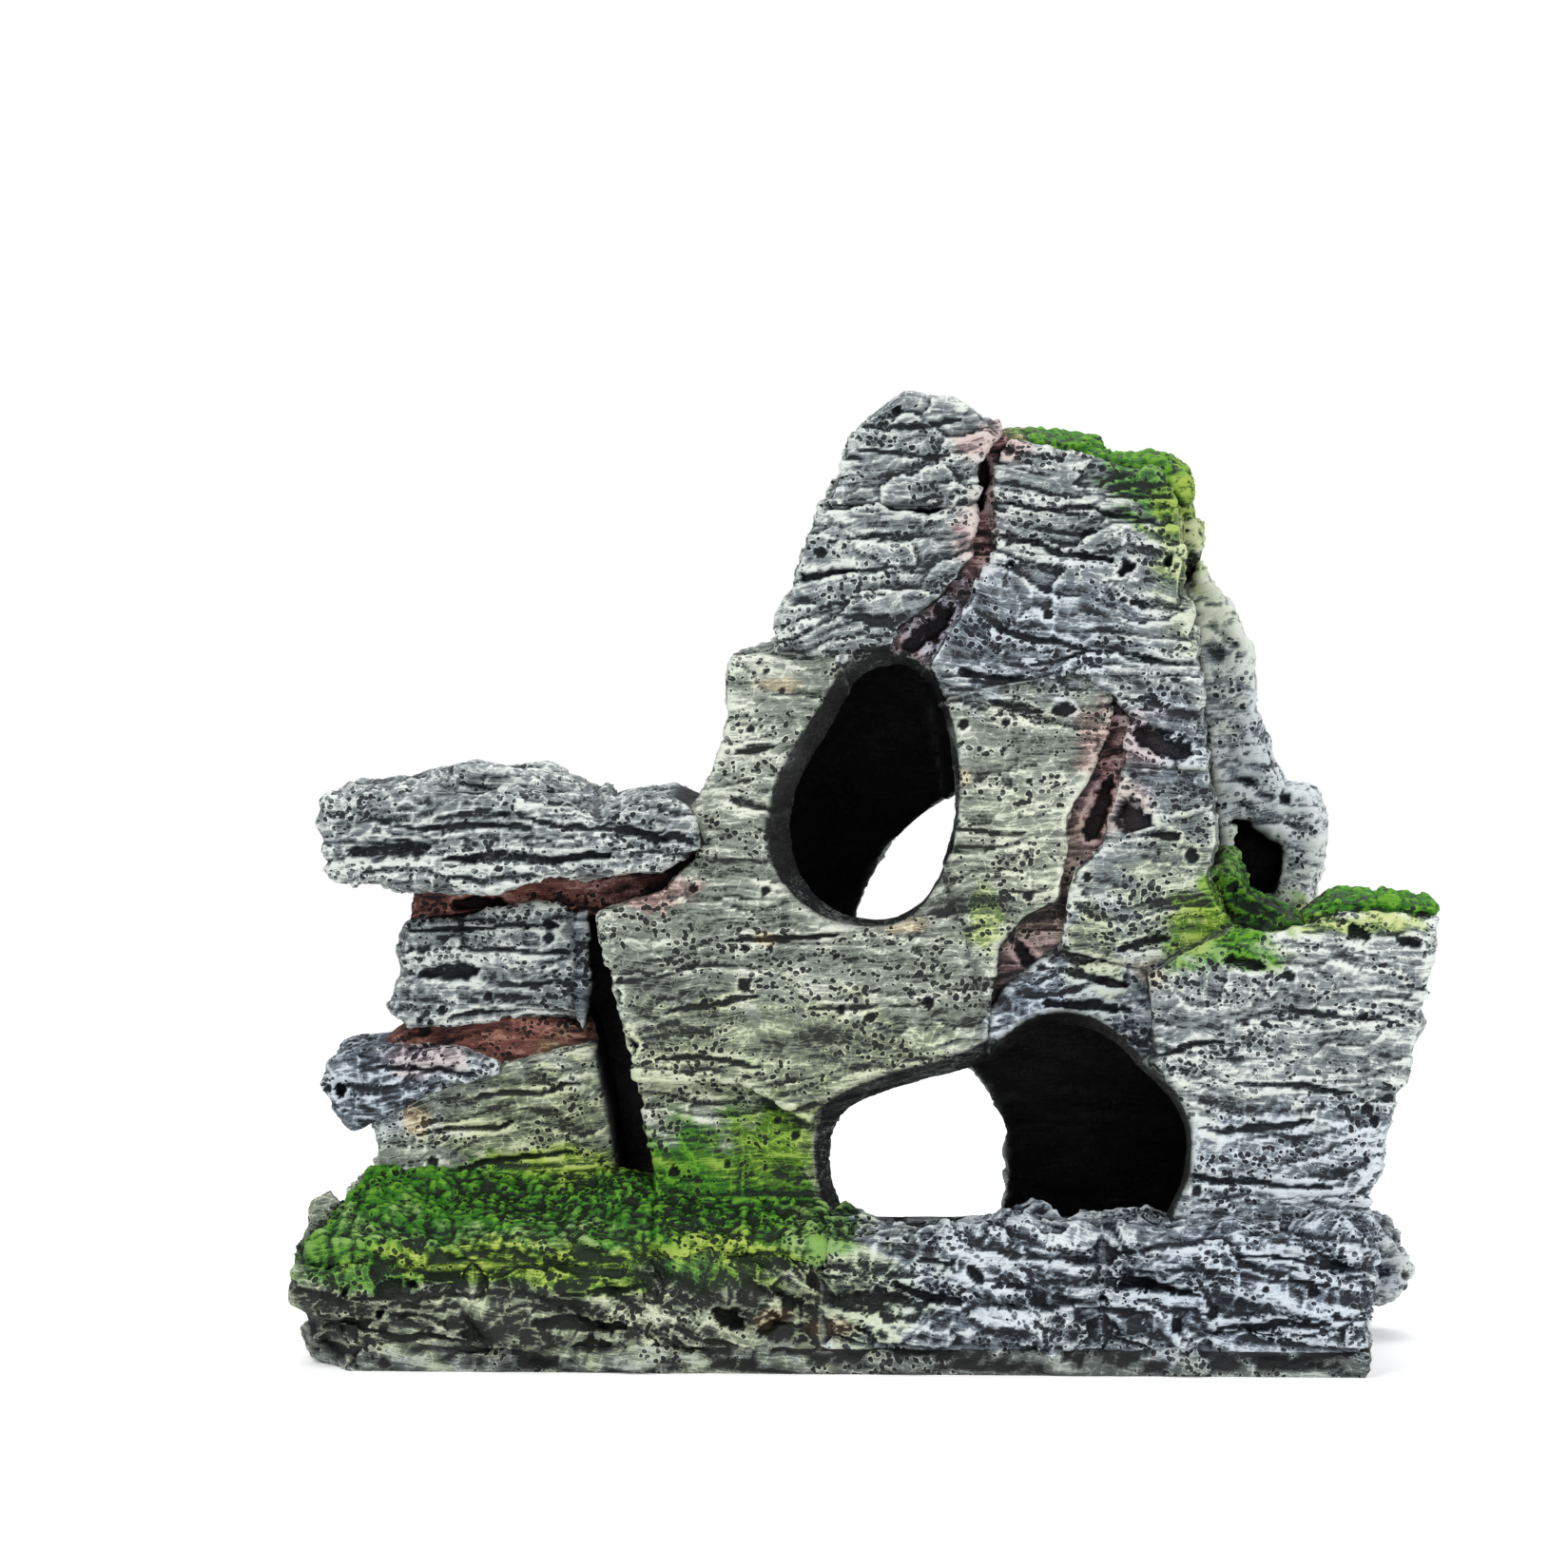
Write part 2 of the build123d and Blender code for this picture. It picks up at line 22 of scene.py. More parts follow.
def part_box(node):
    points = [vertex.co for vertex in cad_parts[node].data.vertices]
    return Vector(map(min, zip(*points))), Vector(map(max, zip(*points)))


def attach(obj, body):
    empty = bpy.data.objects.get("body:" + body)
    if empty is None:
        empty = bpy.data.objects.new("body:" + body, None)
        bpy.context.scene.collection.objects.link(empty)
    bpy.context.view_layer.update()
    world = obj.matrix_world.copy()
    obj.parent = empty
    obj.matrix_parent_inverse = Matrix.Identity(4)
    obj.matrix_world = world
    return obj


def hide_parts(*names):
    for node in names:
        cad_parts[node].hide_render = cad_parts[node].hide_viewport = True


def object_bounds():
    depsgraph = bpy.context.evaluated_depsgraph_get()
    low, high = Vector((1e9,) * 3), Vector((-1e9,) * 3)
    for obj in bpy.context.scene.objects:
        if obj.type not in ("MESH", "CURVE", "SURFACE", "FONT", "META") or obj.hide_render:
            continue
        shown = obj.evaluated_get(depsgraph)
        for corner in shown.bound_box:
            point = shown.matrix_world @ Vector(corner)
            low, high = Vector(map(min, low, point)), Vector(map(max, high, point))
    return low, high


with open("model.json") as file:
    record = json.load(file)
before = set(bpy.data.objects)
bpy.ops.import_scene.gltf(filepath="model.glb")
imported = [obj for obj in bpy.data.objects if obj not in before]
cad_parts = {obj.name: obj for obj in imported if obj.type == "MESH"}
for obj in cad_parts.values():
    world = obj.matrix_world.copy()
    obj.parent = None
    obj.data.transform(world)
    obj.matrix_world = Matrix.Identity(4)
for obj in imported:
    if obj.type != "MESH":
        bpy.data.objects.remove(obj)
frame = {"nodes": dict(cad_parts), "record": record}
cad_low, cad_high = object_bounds()
nodes = frame["nodes"]
scene = bpy.context.scene
MM = 0.001
print("loaded", len(nodes), "rocks,", [round(side / MM) for side in cad_high - cad_low], "mm")

# %% [markdown]
# ## Camera
#
# A small object looks right from well back through a long lens, because its sides then
# stay nearly parallel. The camera stands a few degrees right of the middle and a little
# above the table. It looks at a point above the middle of the rockery, which leaves more
# white over it than under it.

# %% Camera
VIEW_WIDTH = 190.0      # mm across the view at the object
VIEW_DISTANCE = 900.0   # mm from the camera to the point it looks at
VIEW_POINT = (-10.9, 0.0, 67.9)      # mm
VIEW_TURN = math.radians(3.0)
VIEW_LIFT = math.radians(3.0)
SENSOR = 36.0           # mm
CLIP_START = 0.05       # m

aim = Vector(VIEW_POINT) * MM
away = Vector((math.sin(VIEW_TURN) * math.cos(VIEW_LIFT),
               -math.cos(VIEW_TURN) * math.cos(VIEW_LIFT), math.sin(VIEW_LIFT)))
lens = bpy.data.cameras.new("camera")
lens.sensor_width = SENSOR
lens.lens = SENSOR * VIEW_DISTANCE / VIEW_WIDTH
lens.clip_start = CLIP_START
camera = bpy.data.objects.new("camera", lens)
camera.location = aim + away * VIEW_DISTANCE * MM
camera.rotation_euler = away.to_track_quat("Z", "Y").to_euler()
scene.collection.objects.link(camera)
scene.camera = camera
print("lens", round(lens.lens), "mm")

# %% [markdown]
# ## Light and floor
#
# A white table under three big soft lamps. The sky that the camera sees is plain white,
# but it lights the object only gently, so that the main lamp, high on the left, can still
# draw every ledge with a soft shadow under it. The table gives off a little light of its
# own, which hides where it ends and the sky begins.

# %% Sky
WHITE = (1.0, 1.0, 1.0, 1.0)
SKY_TINT = (0.93, 0.96, 1.0, 1.0)
SKY_STRENGTH = 0.4

scene.view_settings.view_transform = "Standard"
sky = bpy.data.worlds.new("studio")
sky.use_nodes = True
scene.world = sky
tree = sky.node_tree
ambient = tree.nodes["Background"]
ambient.inputs["Color"].default_value = SKY_TINT
ambient.inputs["Strength"].default_value = SKY_STRENGTH
backdrop = tree.nodes.new("ShaderNodeBackground")
backdrop.inputs["Color"].default_value = WHITE
rays = tree.nodes.new("ShaderNodeLightPath")
choose = tree.nodes.new("ShaderNodeMixShader")
tree.links.new(rays.outputs["Is Camera Ray"], choose.inputs["Fac"])
tree.links.new(ambient.outputs["Background"], choose.inputs[1])
tree.links.new(backdrop.outputs["Background"], choose.inputs[2])
tree.links.new(choose.outputs["Shader"], tree.nodes["World Output"].inputs["Surface"])
print("sky strength", SKY_STRENGTH)

# %% Lamps
LAMP_TARGET = Vector((0, 0, 50))      # mm; about the middle of the rockery
LAMPS = {
    # name: place and width in mm, power in watts
    "key_lamp": ((-260, -420, 520), 260, 3.1),
    "fill_lamp": ((480, -420, 240), 420, 2.5),
    "top_lamp": ((60, 200, 640), 420, 3.0),
}


def softbox(name, place, size, power):
    """A square lamp at a place given in mm, facing the middle of the object."""
    lamp = bpy.data.lights.new(name, "AREA")
    lamp.size = size * MM
    lamp.energy = power
    box = bpy.data.objects.new(name, lamp)
    box.location = Vector(place) * MM
    to_middle = LAMP_TARGET * MM - box.location
    box.rotation_euler = to_middle.to_track_quat("-Z", "Y").to_euler()
    scene.collection.objects.link(box)


for name, (place, size, power) in LAMPS.items():
    softbox(name, place, size, power)
print("lamps:", ", ".join(LAMPS))

# %% Table
TABLE_HALF = 420.0     # mm from the middle to each edge
TABLE_COLOUR = (0.95, 0.95, 0.95, 1)
TABLE_ROUGHNESS = 0.5
TABLE_GLOW = 0.25

ground = bmesh.new()
bmesh.ops.create_grid(ground, x_segments=2, y_segments=2, size=TABLE_HALF * MM)
floor_mesh = bpy.data.meshes.new("table")
ground.to_mesh(floor_mesh)
ground.free()
table = bpy.data.objects.new("table", floor_mesh)
scene.collection.objects.link(table)
matt_white = bpy.data.materials.new("white_table")
matt_white.use_nodes = True
finish = matt_white.node_tree.nodes["Principled BSDF"].inputs
finish["Base Color"].default_value = TABLE_COLOUR
finish["Roughness"].default_value = TABLE_ROUGHNESS
finish["Emission Color"].default_value = WHITE
finish["Emission Strength"].default_value = TABLE_GLOW
table.data.materials.append(matt_white)
print("table", 2 * TABLE_HALF, "mm across")

# %% [markdown]
# ## Random patterns that repeat
#
# Weathered rock needs noise, and a script that must give the same rock on every run needs
# noise that can be repeated. Here a whole-numbered cell of space always rolls the same
# number. Two patterns are built on that: smooth drifts, like Blender's Noise texture, and
# cells, like its Voronoi texture. Both work on all the points of a rock at once, with
# numpy, and both are given the width of their lumps in mm along X, Y and Z, so that beds
# can be long and thin.

# %% Rolls, drifts and cells
BITS = 0xffffffff     # keeps a whole number to 32 bits
CORNERS = np.array([(i, j, k) for i in (0, 1) for j in (0, 1) for k in (0, 1)])
# The twelve ways from a cube's middle to its edges: each corner of a cell slopes one way.
SLOPES = np.array([(1, 1, 0), (-1, 1, 0), (1, -1, 0), (-1, -1, 0), (1, 0, 1), (-1, 0, 1),
                   (1, 0, -1), (-1, 0, -1), (0, 1, 1), (0, -1, 1), (0, 1, -1), (0, -1, -1)])


def roll(cell, seed):
    """A number from 0 to 1 for each row of whole numbers, the same on every run."""
    x, y, z = cell.astype(np.int64).T
    mixed = ((x * 73856093) ^ (y * 19349663) ^ (z * 83492791) ^ (seed * 57885161)) & BITS
    mixed = ((mixed ^ (mixed >> 15)) * 2246822519) & BITS
    mixed = ((mixed ^ (mixed >> 13)) * 3266489917) & BITS
    return (mixed ^ (mixed >> 16)) / BITS


def drift(points, size, seed):
    """Smooth noise, about -1 to 1, with lumps of the given size."""
    scaled = points / size
    cell = np.floor(scaled)
    part = scaled - cell
    fade = part ** 3 * (part * (part * 6 - 15) + 10)
    total = np.zeros(len(points))
    for corner in CORNERS:
        weight = np.where(corner, fade, 1 - fade).prod(axis=1)
        slope = SLOPES[(roll(cell + corner, seed) * (len(SLOPES) - 0.01)).astype(int)]
        total += weight * ((part - corner) * slope).sum(axis=1)
    return total


JITTER = 0.7     # how far a cell's centre may stray, as a share of the cell
FAR_OFF = 9.0    # cells; farther than any centre can be


def cells(points, size, seed):
    """How far each point is from its cell's centre and from the next one, in cells, with
    the offset from the centre and the whole numbers that stand for the cell."""
    scaled = points / size
    home = np.floor(scaled - 0.5)
    near = np.full(len(points), FAR_OFF)
    second = near.copy()
    offset = np.zeros_like(points)
    owner = np.zeros_like(points)
    for corner in CORNERS:
        cell = home + corner
        jitter = np.stack([roll(cell, seed + axis) for axis in range(3)], axis=1)
        gap = scaled - cell - 0.5 - JITTER * (jitter - 0.5)
        far = np.sqrt((gap ** 2).sum(axis=1))
        closer = far < near
        second = np.where(closer, near, np.minimum(second, far))
        near = np.where(closer, far, near)
        offset[closer] = gap[closer]
        owner[closer] = cell[closer]
    return near, second, offset, owner


def ramp(value, start, end):
    """0 below start, 1 above end, and smooth between; it falls if end is below start."""
    share = np.clip((value - start) / (end - start), 0, 1)
    return share * share * (3 - 2 * share)


print("noise sample", np.round(drift(np.array([[1.3, 2.1, 0.7]]), (4, 4, 2), 1), 3))

# %% [markdown]
# ## A blank for each rock
#
# A packed rock is a few large flat faces. To weather it, its surface needs a fine even
# grid, which the Remesh modifier makes from any closed shape: it fills the shape with
# small boxes and wraps a skin of squares round them. It also wears the sharp edges a
# little, as the mould does. The modifier is applied at once, because the weathering moves
# the new vertices.

# %% Blank
GRID_FRONT = 0.33     # mm between vertices on rocks seen in front
GRID_REAR = 0.42      # mm, on rocks seen from behind
GRID_INNER = 0.60     # mm, on rocks that hardly show
WELD = 0.0005                                 # mm; corners closer than this are one


def rock_blank(node, grid):
    """A closed copy of a packed rock with an even grid of faces."""
    shape = bmesh.new()
    shape.from_mesh(nodes[node].data)
    bmesh.ops.remove_doubles(shape, verts=shape.verts, dist=WELD * MM)
    mesh = bpy.data.meshes.new(node + "_block")
    shape.to_mesh(mesh)
    shape.free()
    blank = bpy.data.objects.new(node + "_rock", mesh)
    scene.collection.objects.link(blank)
    skin = blank.modifiers.new("even_grid", "REMESH")
    skin.mode = "VOXEL"
    skin.voxel_size = grid * MM
    skin.use_smooth_shade = True
    worn = blank.evaluated_get(bpy.context.evaluated_depsgraph_get())
    blank.data = bpy.data.meshes.new_from_object(worn)
    blank.modifiers.clear()
    bpy.data.meshes.remove(mesh)
    return blank


class Surface:
    """A rock's vertices in mm, with their normals and edges, as arrays."""

    def __init__(self, rock):
        mesh = rock.data
        count = len(mesh.vertices)
        flat = np.empty(count * 3)
        mesh.vertices.foreach_get("co", flat)
        self.points = flat.reshape(-1, 3) / MM
        flat = np.empty(count * 3)
        mesh.vertex_normals.foreach_get("vector", flat)
        self.normals = flat.reshape(-1, 3)
        pairs = np.empty(len(mesh.edges) * 2, np.int32)
        mesh.edges.foreach_get("vertices", pairs)
        self.edges = pairs.reshape(-1, 2)

    def eased(self, values, rounds):
        """The values averaged with those of their neighbours, several times over."""
        a, b = self.edges.T
        count = len(values)
        near = 1 + np.bincount(a, minlength=count) + np.bincount(b, minlength=count)
        for _ in range(rounds):
            values = (values + np.bincount(a, values[b], count)
                      + np.bincount(b, values[a], count)) / near
        return values


print("grid", GRID_FRONT, GRID_REAR, GRID_INNER, "mm")

# %% [markdown]
# ## Where the light reaches
#
# Paint and wash depend on how hidden a spot is: the inside of the cave is left black, spots
# that few rays leave are painted black as well, which is painted shade, and the seams between
# rocks hold dark wash. Both are measured on the imported model. Rays fan out from a few
# vertices in each small block of space, and the share that gets away says how open that block
# is. For the seams, each vertex asks how far away the next rock is, and whether that rock
# stands prouder than it does.

# %% Openness
RAY_COUNT = 24
RAY_TURN = 2.4       # radians from one ray to the next, close to the golden angle
SIGHT = 60.0         # mm that a ray must run clear to count as open
GRAZING = 0.05       # rays flatter to the surface than this are left out
LIFT_OFF = 0.8       # mm above the surface where the rays start
SPOT = 2.5           # mm across the blocks that are tested


def ray(number):
    """One of the rays, which are spread evenly over a sphere in a spiral."""
    height = 2 * (number + 0.5) / RAY_COUNT - 1
    width = math.sqrt(1 - height ** 2)
    return Vector((width * math.cos(RAY_TURN * number), width * math.sin(RAY_TURN * number), height))


ray_fan = [ray(number) for number in range(RAY_COUNT)]


def faces_of(names):
    """The corners and triangles of several packed rocks, in one list."""
    corners, triangles = [], []
    for name in names:
        start = len(corners)
        corners += [vertex.co.copy() for vertex in nodes[name].data.vertices]
        triangles += [[start + v for v in face.vertices] for face in nodes[name].data.polygons]
    return corners, triangles


whole = BVHTree.FromPolygons(*faces_of(nodes))


def spot_openness(point, facing):
    """The share of rays that get away from a spot, weighted towards the way it faces."""
    start = Vector(point) * MM + facing * (LIFT_OFF * MM)
    clear = total = 0.0
    for direction in ray_fan:
        weight = direction.dot(facing)
        if weight <= GRAZING:
            continue
        total += weight
        if whole.ray_cast(start, direction, SIGHT * MM)[0] is None:
            clear += weight
    return clear / total


def openness(surface):
    """0 deep in the cave and 1 out in the open, for each vertex. Vertices in one block that
    face the same way share a result, the better one of the first and the last of them."""
    keys = np.column_stack([np.floor(surface.points / SPOT), np.round(surface.normals)])
    _, firsts, kind = np.unique(keys, axis=0, return_index=True, return_inverse=True)
    kind = kind.ravel()
    lasts = np.zeros(len(firsts), dtype=int)
    lasts[kind] = np.arange(len(kind))
    shares = np.zeros(len(firsts))
    for row, pair in enumerate(zip(firsts, lasts)):
        shares[row] = max(spot_openness(surface.points[i], Vector(surface.normals[i]).normalized())
                          for i in pair)
    return surface.eased(shares[kind], 10)


print("packed faces", len(faces_of(nodes)[1]), "and", len(ray_fan), "rays")

# %% Seams
SEAM_REACH = 1.4     # mm; how far from the next rock a seam's wash can reach
TOUCHING = 0.5       # mm; closer than this, two faces lie against each other
OPPOSED = -0.6       # how much two faces must look at each other to do so
PROUDER = 0.45       # mm that the next rock must stand out for wash to gather


def seams(node, surface):
    """For each vertex: 1 where it lies hidden against the next rock, then 1 where the next
    rock is close by at all, then 1 where that rock stands prouder, so that wash gathers."""
    others = BVHTree.FromPolygons(*faces_of(name for name in nodes if name != node))
    count = len(surface.points)
    hidden, beside, creased = np.zeros(count), np.zeros(count), np.zeros(count)
    for i in range(count):
        point = Vector(surface.points[i]) * MM
        spot, facing, _, gap = others.find_nearest(point, SEAM_REACH * MM)
        if spot is None:
            continue
        normal = Vector(surface.normals[i])
        closeness = 1 - gap / (SEAM_REACH * MM)
        beside[i] = closeness
        if gap < TOUCHING * MM and facing.dot(normal) < OPPOSED:
            hidden[i] = 1
        elif (spot - point).dot(normal) > PROUDER * MM:
            creased[i] = closeness
    return hidden, beside, creased


print("a seam reaches", SEAM_REACH, "mm")

# %% [markdown]
# ## Weathering
#
# The casting copies a bedded rock such as slate or petrified wood. Its surface is beds a
# few mm thick, each pushed in or out by its own amount, with sharp lips and short dark
# cracks between them. Across the beds run flat flakes that have split away. On top lie a
# net of thin ridges and many round pits from bubbles. The patterns depend only on where a
# point is, so rocks that share a seed and a slope carry on each other's beds. Each effect
# adds its own number to the seed, so that no two of them repeat each other. A style says
# how strong each effect is on one kind of rock.

# %% Styles of rock
STYLES = {
    # lump: broad swelling; bed: bed thickness; push: beds in and out; lip, crack, flake,
    # net, pit and stripe: heights and depths, all in mm; pitted: the share of cells with
    # a pit.
    "slab": dict(lump=0.40, bed=2.6, push=0.26, lip=0.12, crack=0.20, flake=0.30,
                 net=0.08, pit=0.9, pitted=0.16, stripe=0.10),
    "crag": dict(lump=0.60, bed=2.8, push=0.50, lip=0.22, crack=0.45, flake=0.80,
                 net=0.13, pit=0.9, pitted=0.16, stripe=0.14),
    "ledge": dict(lump=0.80, bed=3.0, push=0.50, lip=0.18, crack=0.35, flake=0.45,
                  net=0.24, pit=1.0, pitted=0.16, stripe=0.10),
    "kerb": dict(lump=1.6, bed=3.4, push=0.75, lip=0.22, crack=0.30, flake=0.95,
                 net=0.28, pit=1.1, pitted=0.24, stripe=0.08),
    "buttress": dict(lump=0.70, bed=2.4, push=0.38, lip=0.20, crack=0.20, flake=0.45,
                     net=0.16, pit=0.9, pitted=0.16, stripe=0.12),
    "seam": dict(lump=0.35, bed=1.6, push=0.30, lip=0.15, crack=0.20, flake=0.20,
                 net=0.08, pit=0.6, pitted=0.12, stripe=0.10),
    "moss": dict(lump=0.90, bed=9.0, push=0.30, lip=0.0, crack=0.0, flake=0.30,
                 net=0.0, pit=0.8, pitted=0.20, stripe=0.0),
    "inner": dict(lump=0.80, bed=3.0, push=0.40, lip=0.10, crack=0.0, flake=0.30,
                  net=0.10, pit=0.6, pitted=0.10, stripe=0.0),
}


print(len(STYLES), "styles of rock")

# %% Beds
def bedding(points, dip):
    """Points turned by the slope of the beds, so that the third column runs across them."""
    angle = math.atan(dip)
    x, y, z = points.T
    along = x * math.cos(angle) + z * math.sin(angle)
    across = z * math.cos(angle) - x * math.sin(angle)
    return np.column_stack([along, y, across])


def askew(points):
    """Points sheared, so that the lumps of a drift don't line up with the axes."""
    x, y, z = points.T
    return np.column_stack([x + 0.55 * z, y + 0.4 * x, z + 0.15 * x - 0.2 * y])


CRACK_WIDTH = 0.30      # mm from a crack's middle to where it has all but closed


def beds(laid, style, seed):
    """How far the beds stand out, in mm, and how much of a crack each point is in."""
    bed = laid[:, 2] / style["bed"]
    number = np.floor(bed)
    share = bed - number
    own = np.column_stack([laid[:, 0] + 37.7 * number, laid[:, 1], 11.3 * number])
    rise = 1.5 * style["push"] * drift(own, (9, 9, 1), seed + 4)
    rise += 0.5 * style["push"] * drift(own, (2.6, 2.6, 1), seed + 5)
    worn = ramp(drift(laid, (13, 13, 5), seed + 6), -0.35, 0.25)
    rise += style["lip"] * (share - 0.5) * worn
    edge = np.minimum(share, 1 - share) * style["bed"]
    open_crack = ramp(drift(laid, (9, 9, 2.2), seed + 7), 0.12, 0.45)
    crack = np.exp(-(edge / CRACK_WIDTH) ** 2) * open_crack
    return rise - style["crack"] * crack, crack


print("beds from", min(style["bed"] for style in STYLES.values()), "mm thick")

# %% Flakes, ridges and bubbles
def flakes(ragged, style, seed):
    """Flat flakes that stand at their own heights and tilts, in mm."""
    _, _, offset, owner = cells(ragged, (10.0, 8.0, 3.4), seed + 11)
    height = roll(owner, seed + 14) - 0.5
    tilt = (roll(owner, seed + 15) - 0.5) * offset[:, 0]
    tilt += (roll(owner, seed + 16) - 0.2) * offset[:, 2]
    return style["flake"] * (1.1 * height + 1.3 * tilt)


def ridge_net(ragged, style, seed):
    """A net of thin ridges, in mm."""
    near, second, _, _ = cells(ragged, (2.5, 2.5, 1.25), seed + 17)
    return style["net"] * (1 - ramp(second - near, 0.0, 0.34) - 0.35)


def bubbles(shaken, style, seed):
    """How far the bubble pits sink, in mm, and how much of a pit each point is in."""
    near, _, _, owner = cells(shaken, 2.2, seed + 21)
    size = 0.14 + 0.26 * roll(owner, seed + 24) ** 2
    bowl = np.sqrt(np.clip(1 - (near / size) ** 2, 0, 1)) * (roll(owner, seed + 25) < style["pitted"])
    return style["pit"] * bowl * (0.5 + size), bowl


def weather(points, dip, kind, seed):
    """How far each point rises or sinks, in mm, and how much of a pit or crack it is in."""
    style = STYLES[kind]
    # The beds run in waves, and a small shove makes the edges of flakes and pits ragged.
    laid = bedding(points, dip)
    laid[:, 2] += 4.2 * drift(laid, (24, 24, 11), seed) + 1.5 * drift(laid, (8, 8, 4.5), seed + 1)
    shove = 0.9 * np.column_stack([drift(points, 2.4, seed + 8 + axis) for axis in range(3)])
    rise = 1.6 * style["lump"] * drift(askew(points), (11, 11, 6), seed + 2)
    rise += 0.7 * style["lump"] * drift(askew(points), (4.6, 4.6, 2.6), seed + 3)
    stepped, crack = beds(laid, style, seed)
    rise += stepped + flakes(laid + shove, style, seed) + ridge_net(laid + shove, style, seed)
    rise += 1.6 * style["stripe"] * drift(laid, (5.5, 5.5, 0.75), seed + 20)
    sunk, bowl = bubbles(points + 0.5 * shove, style, seed)
    return rise - sunk, np.maximum(bowl, 0.5 * crack)


print("crack width", CRACK_WIDTH, "mm")
